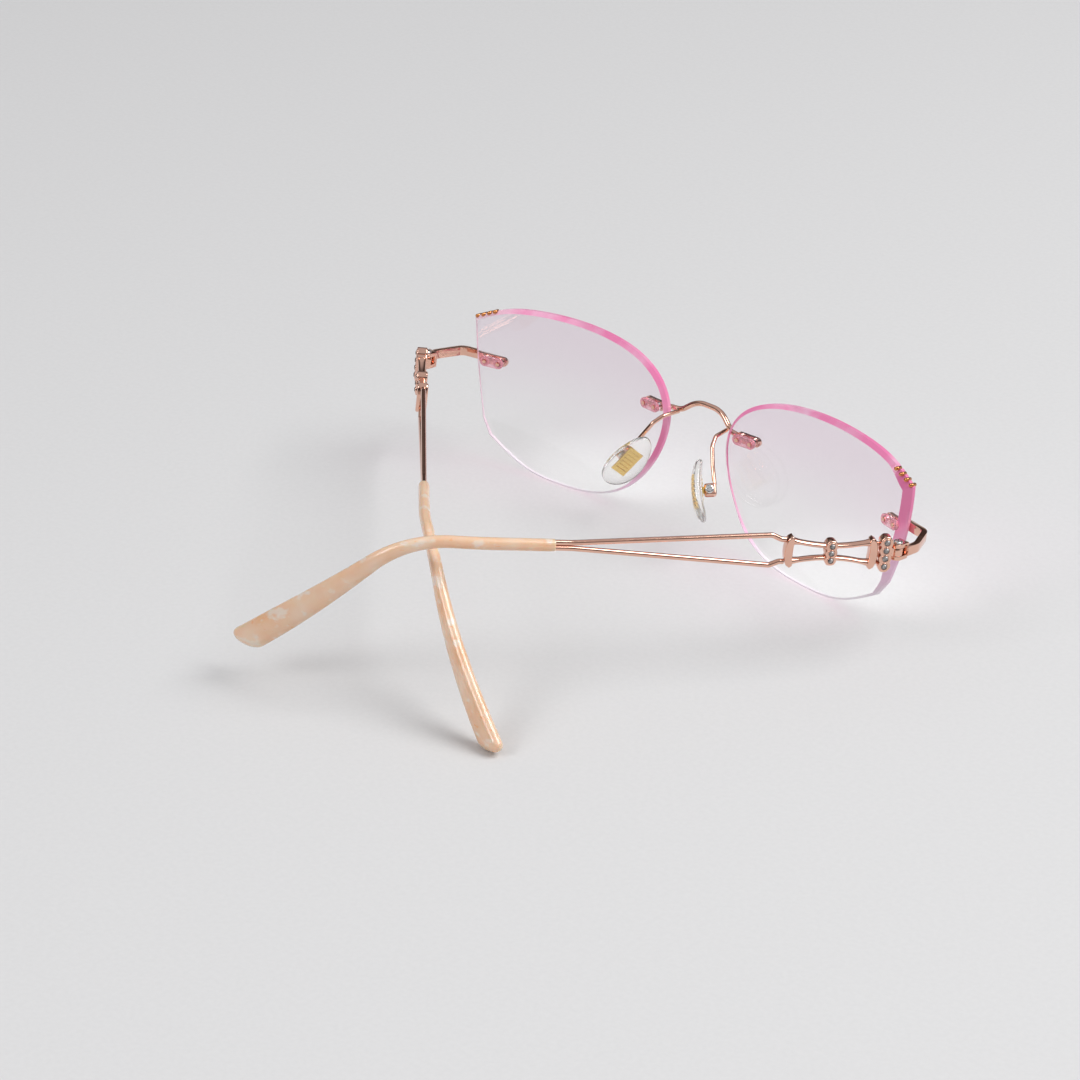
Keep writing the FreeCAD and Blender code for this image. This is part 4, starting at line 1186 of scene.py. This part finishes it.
def rod_rings(side, sign, count=28, rows=44):
    """One bamboo rod: waisted in the middle and flared where it meets the end collars."""
    start = ORNAMENT_START + END_COLLAR * 0.5
    end = start + BAMBOO_LENGTH - END_COLLAR
    centre = (start + end) / 2
    rings = []
    for row in range(rows + 1):
        s = -1 + 2 * row / rows
        x = centre + s * (end - start) / 2
        spread = ROD_SPREAD_CENTRE + (ROD_SPREAD_END - ROD_SPREAD_CENTRE) * s * s
        flare = max(abs(s) - 0.72, 0.0) / 0.28
        tall = (0.56 + 0.42 * flare ** 1.7) * MM
        deep = (0.88 + 0.22 * flare ** 1.7) * MM
        level = HINGE_LEVEL + sign * (spread - 0.15 * MM * flare)
        rings.append([(x, outward(side, TEMPLE_OFFSET) + deep * math.sin(2 * math.pi * i / count),
                       level + tall * math.cos(2 * math.pi * i / count)) for i in range(count)])
    return rings


def joined(name, things):
    """Several objects as one, keeping each one's shape."""
    shape = bmesh.new()
    for thing in things:
        shape.from_mesh(thing.data)
        bpy.data.objects.remove(thing)
    mesh = bpy.data.meshes.new(name)
    shape.to_mesh(mesh)
    shape.free()
    result = bpy.data.objects.new(name, mesh)
    bpy.context.scene.collection.objects.link(result)
    mesh.set_sharp_from_angle(angle=math.radians(40))
    return result


def knuckle_rings(outer, bore, low, high, count=48):
    profile = [(bore, low), (outer * 0.95, low), (outer, low + 0.08 * MM), (outer, high - 0.08 * MM),
               (outer * 0.95, high), (bore, high), (bore, low)]
    return [circle(r, z, count) for r, z in profile]


class EYEWEAR_OT_temple_hinges(bpy.types.Operator):
    """Make the hinge knuckle and the scalloped collar of each temple"""
    bl_idname = "eyewear.temple_hinges"
    bl_label = "Temple hinges"

    def execute(self, context):
        for name, side in SIDES.items():
            matrix = temple_matrix(side)
            middle = COLLAR_START + COLLAR_LENGTH / 2
            outline = scalloped_outline(middle, COLLAR_LENGTH, 4, STONE_PITCH)
            collar = bar_object(f"collar_{name}", outline, COLLAR_DEPTH, side, matrix, COLLAR_EDGE)
            low, high = HINGE_LEVEL - KNUCKLE_HEIGHT / 2, HINGE_LEVEL + KNUCKLE_HEIGHT / 2
            rings = [moved(ring, matrix) for ring in knuckle_rings(KNUCKLE_RADIUS, KNUCKLE_BORE, low, high)]
            knuckle = rings_object(f"knuckle_{name}", rings, 40.0, closed_ends=False)
            near, far = TONGUE_START, COLLAR_START + TONGUE_OVERLAP
            tongue = [(near, -TONGUE_HALF), (far, -TONGUE_HALF), (far, TONGUE_HALF), (near, TONGUE_HALF)]
            rings = [moved([(x, y, z) for x, y in tongue], matrix) for z in (low, high)]
            web = rings_object(f"web_{name}", rings)
            thing = joined(f"temple_hinge_{name}_finished", [collar, knuckle, web])
            as_piece(thing, f"temple_{name}", [rose_gold()], [f"temple_hinge_{name}"])
        return {"FINISHED"}


class EYEWEAR_OT_ornaments(bpy.types.Operator):
    """Make the bamboo ornament of each temple: end collars, waisted rods, centre collar and link pins"""
    bl_idname = "eyewear.ornaments"
    bl_label = "Bamboo ornaments"

    def execute(self, context):
        start = ORNAMENT_START
        end = start + BAMBOO_LENGTH
        for name, side in SIDES.items():
            matrix = temple_matrix(side)
            body = f"temple_{name}"
            for place, middle, facing in (("front", start + END_COLLAR / 2, -1),
                                          ("rear", end - END_COLLAR / 2, 1)):
                outline = crescent_outline(middle, END_COLLAR, BAMBOO_HEIGHT, END_COLLAR_BOW, facing)
                node = f"ornament_collar_{place}_{name}"
                bar = bar_object(node + "_finished", outline, COLLAR_DEPTH, side, matrix, END_COLLAR_EDGE)
                as_piece(bar, body, [rose_gold()], [node])
            node = f"ornament_collar_centre_{name}"
            outline = scalloped_outline((start + end) / 2, CENTRE_COLLAR, 3, CENTRE_PITCH)
            bar = bar_object(node + "_finished", outline, COLLAR_DEPTH, side, matrix, COLLAR_EDGE)
            as_piece(bar, body, [rose_gold()], [node])
            rods = [rings_object(f"rod_{name}_{sign}", [moved(ring, matrix)
                                                        for ring in rod_rings(side, sign)])
                    for sign in (-1, 1)]
            node = f"ornament_rods_{name}"
            as_piece(joined(node + "_finished", rods), body, [rose_gold()], [node])
            middle = COLLAR_START + COLLAR_LENGTH + LINK_LENGTH / 2
            turn = Matrix.Rotation(math.radians(90), 4, "Z")
            at = matrix @ Matrix.Translation((middle, outward(side, TEMPLE_OFFSET), HINGE_LEVEL)) @ turn
            links = grown(bead_tree(), f"link_pins_{name}_finished", at, rose_gold(), count=2,
                          pitch=2 * LINK_SPREAD, radius=LINK_RADIUS, length=LINK_LENGTH)
            as_piece(links, body, (), [f"link_pins_{name}"])
        return {"FINISHED"}


class EYEWEAR_OT_stones(bpy.types.Operator):
    """Set the grey stones and their rings in the collars"""
    bl_idname = "eyewear.stones"
    bl_label = "Stones"

    def execute(self, context):
        rows = (("collar_crystals", COLLAR_START + COLLAR_LENGTH / 2, 4, STONE_PITCH),
                ("centre_crystals", ORNAMENT_START + BAMBOO_LENGTH / 2, 3, CENTRE_PITCH))
        for name, side in SIDES.items():
            for label, along, count, pitch in rows:
                face = outward(side, TEMPLE_OFFSET + COLLAR_DEPTH / 2)
                flip = Matrix.Rotation(math.pi if side > 0 else 0.0, 4, "Z")
                at = temple_matrix(side) @ Matrix.Translation((along, face, HINGE_LEVEL)) @ flip
                radius = min(sizes().stone_radius, pitch * STONE_SHARE)
                stones = grown(stone_tree(), f"{label}_{name}_cut", at, grey_crystal(), count=count,
                               pitch=pitch, radius=radius, rise=STONE_RISE, table=radius * TABLE_SHARE)
                as_piece(stones, f"temple_{name}", (), [f"{label}_{name}"])
                rings = grown(ring_tree(), f"{label}_{name}_settings", at, rose_gold(), count=count,
                              pitch=pitch, radius=radius + SETTING_GAP, wire=SETTING_WIRE)
                for polygon in rings.data.polygons:
                    polygon.use_smooth = True
                as_piece(rings, f"temple_{name}")
        return {"FINISHED"}


class EYEWEAR_OT_wires(bpy.types.Operator):
    """Plate the two wires of each temple"""
    bl_idname = "eyewear.wires"
    bl_label = "Temple wires"

    def execute(self, context):
        for name in SIDES:
            for place in ("upper", "lower"):
                dress(f"temple_wire_{place}_{name}", rose_gold())
        return {"FINISHED"}


def tip_station(side, travelled):
    """Centre of the tip at a distance along it from its start."""
    angle = min(max((travelled - TIP_STRAIGHT) / TIP_BEND, 0.0), TIP_DROP)
    past = max(travelled - TIP_STRAIGHT - TIP_BEND * TIP_DROP, 0.0)
    along = TIP_START + min(travelled, TIP_STRAIGHT) + TIP_BEND * math.sin(angle) + past * math.cos(TIP_DROP)
    level = HINGE_LEVEL - TIP_BEND * (1 - math.cos(angle)) - past * math.sin(TIP_DROP)
    sweep_from = TIP_STRAIGHT * 0.6
    share = max(travelled - sweep_from, 0.0) / (TIP_LENGTH - sweep_from)
    inward = TIP_INWARD * share ** 1.8 - TEMPLE_OFFSET
    return Vector((along, -outward(side, inward), level))


def tip_rings(side, count=56, rows=120):
    """Ovals that grow from the wires to a flat paddle and close in an oblique round end."""
    rings = []
    thin = sizes().tip_height
    wide = sizes().paddle_height
    for row in range(rows + 1):
        share = row / rows
        share = 1 - (1 - share) ** 1.5 if share > 0.0 else 0.0
        travelled = share * TIP_LENGTH
        centre = tip_station(side, travelled)
        step = 0.2 * MM
        ahead = (tip_station(side, travelled + step) - tip_station(side, travelled - step)).normalized()
        sideways = Vector((0, 0, 1)).cross(ahead).normalized()
        tall = ahead.cross(sideways).normalized()
        grown_by = smoothstep(0.30, 0.96, travelled / TIP_LENGTH)
        height = thin + (wide - thin) * grown_by
        depth = TIP_DEPTH + (PADDLE_DEPTH - TIP_DEPTH) * grown_by
        left = TIP_LENGTH - travelled
        closing = 1.0 if left > TIP_CAP else math.sqrt(max(1 - (1 - left / TIP_CAP) ** 2, 0.0))
        start_round = smoothstep(-0.25 * MM, 0.2 * MM, travelled)
        closing *= 0.86 + 0.14 * start_round
        slant = TIP_SLANT * smoothstep(TIP_LENGTH * 0.86, TIP_LENGTH, travelled)
        ring = []
        for i in range(count):
            turn = 2 * math.pi * i / count
            up = math.copysign(abs(math.cos(turn)) ** 0.9, math.cos(turn)) * height / 2 * closing
            across = math.copysign(abs(math.sin(turn)) ** 0.9, math.sin(turn)) * depth / 2 * closing
            ring.append(centre + tall * up + sideways * across + ahead * (slant * up))
        rings.append(ring)
    return rings


class EYEWEAR_OT_tips(bpy.types.Operator):
    """Shape the acetate tip of each temple"""
    bl_idname = "eyewear.tips"
    bl_label = "Acetate tips"

    def execute(self, context):
        for name, side in SIDES.items():
            matrix = temple_matrix(side)
            rings = [moved(ring, matrix) for ring in tip_rings(side)]
            tip = rings_object(f"temple_tip_{name}_polished", rings, 50.0)
            as_piece(tip, f"temple_{name}", [pearl_acetate()], [f"temple_tip_{name}"])
        return {"FINISHED"}


# ---------------------------------------------------------------- stage
CAMERA_PLACE = (-0.5232, 0.6121, 0.3982)
CAMERA_TURN = (62.40, 0.0, 223.05)
CAMERA_LENS = 135.3


def area_light(name, place, target, size, power, colour=(1, 1, 1)):
    lamp = bpy.data.lights.new(name, "AREA")
    lamp.shape = "RECTANGLE"
    lamp.size, lamp.size_y = size
    lamp.energy = power
    lamp.color = colour
    thing = bpy.data.objects.new(name, lamp)
    thing.location = place
    thing.rotation_euler = (Vector(target) - Vector(place)).to_track_quat("-Z", "Y").to_euler()
    bpy.context.scene.collection.objects.link(thing)
    return thing


def air(tree):
    """A studio pale at floor level and overhead with a dark band between, for contrast in the metal."""
    nodes, links = tree.nodes, tree.links
    place = nodes.new("ShaderNodeTexCoord")
    split = nodes.new("ShaderNodeSeparateXYZ")
    links.new(place.outputs["Generated"], split.inputs[0])
    dark_from = ramp_between(nodes, links, split.outputs["Z"], 0.0, 0.28)
    pale_from = ramp_between(nodes, links, split.outputs["Z"], 0.38, 0.70)
    low = blend_colours(nodes, links, dark_from, (0.78, 0.77, 0.76, 1), (0.10, 0.08, 0.075, 1))
    shade = blend_colours(nodes, links, pale_from, low, (0.97, 0.97, 1.0, 1))
    background = nodes["Background"]
    links.new(shade, background.inputs["Color"])
    background.inputs["Strength"].default_value = 0.56


class EYEWEAR_OT_stage(bpy.types.Operator):
    """Set the pale floor, the soft studio light and the camera"""
    bl_idname = "eyewear.stage"
    bl_label = "Stage"

    def execute(self, context):
        low = CAD_BOUNDS[0][2]
        reach = 3.0
        corners = [(-reach, -reach, low), (reach, -reach, low), (reach, reach, low), (-reach, reach, low)]
        floor = mesh_object("studio_floor", corners, [(0, 1, 2, 3)])
        if floor.data.polygons[0].normal.z < 0:
            floor.data.flip_normals()
        floor.data.materials.append(studio_floor())
        area_light("key_softbox", (-0.9, -0.5, 1.3), (0, 0.05, 0), (1.0, 1.0), 21.0)
        area_light("fill_softbox", (0.3, 1.3, 1.0), (0, 0.05, 0), (0.7, 0.7), 7.0)
        world = bpy.data.worlds.new("studio_air")
        world.use_nodes = True
        air(world.node_tree)
        context.scene.world = world
        context.scene.view_settings.view_transform = "Standard"
        camera = bpy.data.cameras.new("camera")
        camera.lens = CAMERA_LENS
        camera.sensor_width = 36.0
        camera.clip_start = 0.01
        eye = bpy.data.objects.new("camera", camera)
        eye.location = CAMERA_PLACE
        eye.rotation_euler = [math.radians(angle) for angle in CAMERA_TURN]
        context.scene.collection.objects.link(eye)
        context.scene.camera = eye
        return {"FINISHED"}


# ---------------------------------------------------------------- panel and run
OPERATORS = (
    EYEWEAR_OT_stage, EYEWEAR_OT_lenses, EYEWEAR_OT_beads, EYEWEAR_OT_front_metal, EYEWEAR_OT_screws,
    EYEWEAR_OT_nose_pads, EYEWEAR_OT_temple_hinges, EYEWEAR_OT_ornaments, EYEWEAR_OT_stones,
    EYEWEAR_OT_wires, EYEWEAR_OT_tips,
)


class EYEWEAR_PT_panel(bpy.types.Panel):
    """Lists the pieces of the eyeglasses and their sizes and colours"""
    bl_label = "Rimless Eyeglasses"
    bl_idname = "EYEWEAR_PT_panel"
    bl_space_type = "VIEW_3D"
    bl_region_type = "UI"
    bl_category = "Eyewear"

    def draw(self, context):
        for group in (context.scene.eyewear_sizes, context.scene.eyewear_colours):
            column = self.layout.column()
            for key in group.__annotations__:
                column.prop(group, key)
        column = self.layout.column()
        for operator in OPERATORS:
            column.operator(operator.bl_idname)


CLASSES = (EyewearSizes, EyewearColours, *OPERATORS, EYEWEAR_PT_panel)


def register():
    for cls in CLASSES:
        bpy.utils.register_class(cls)
    bpy.types.Scene.eyewear_sizes = bpy.props.PointerProperty(type=EyewearSizes)
    bpy.types.Scene.eyewear_colours = bpy.props.PointerProperty(type=EyewearColours)


def unregister():
    del bpy.types.Scene.eyewear_colours
    del bpy.types.Scene.eyewear_sizes
    for cls in reversed(CLASSES):
        bpy.utils.unregister_class(cls)


def main():
    register()
    for operator in OPERATORS:
        family, action = operator.bl_idname.split(".")
        getattr(getattr(bpy.ops, family), action)()
    bpy.context.view_layer.update()


if __name__ == "__main__":
    main()
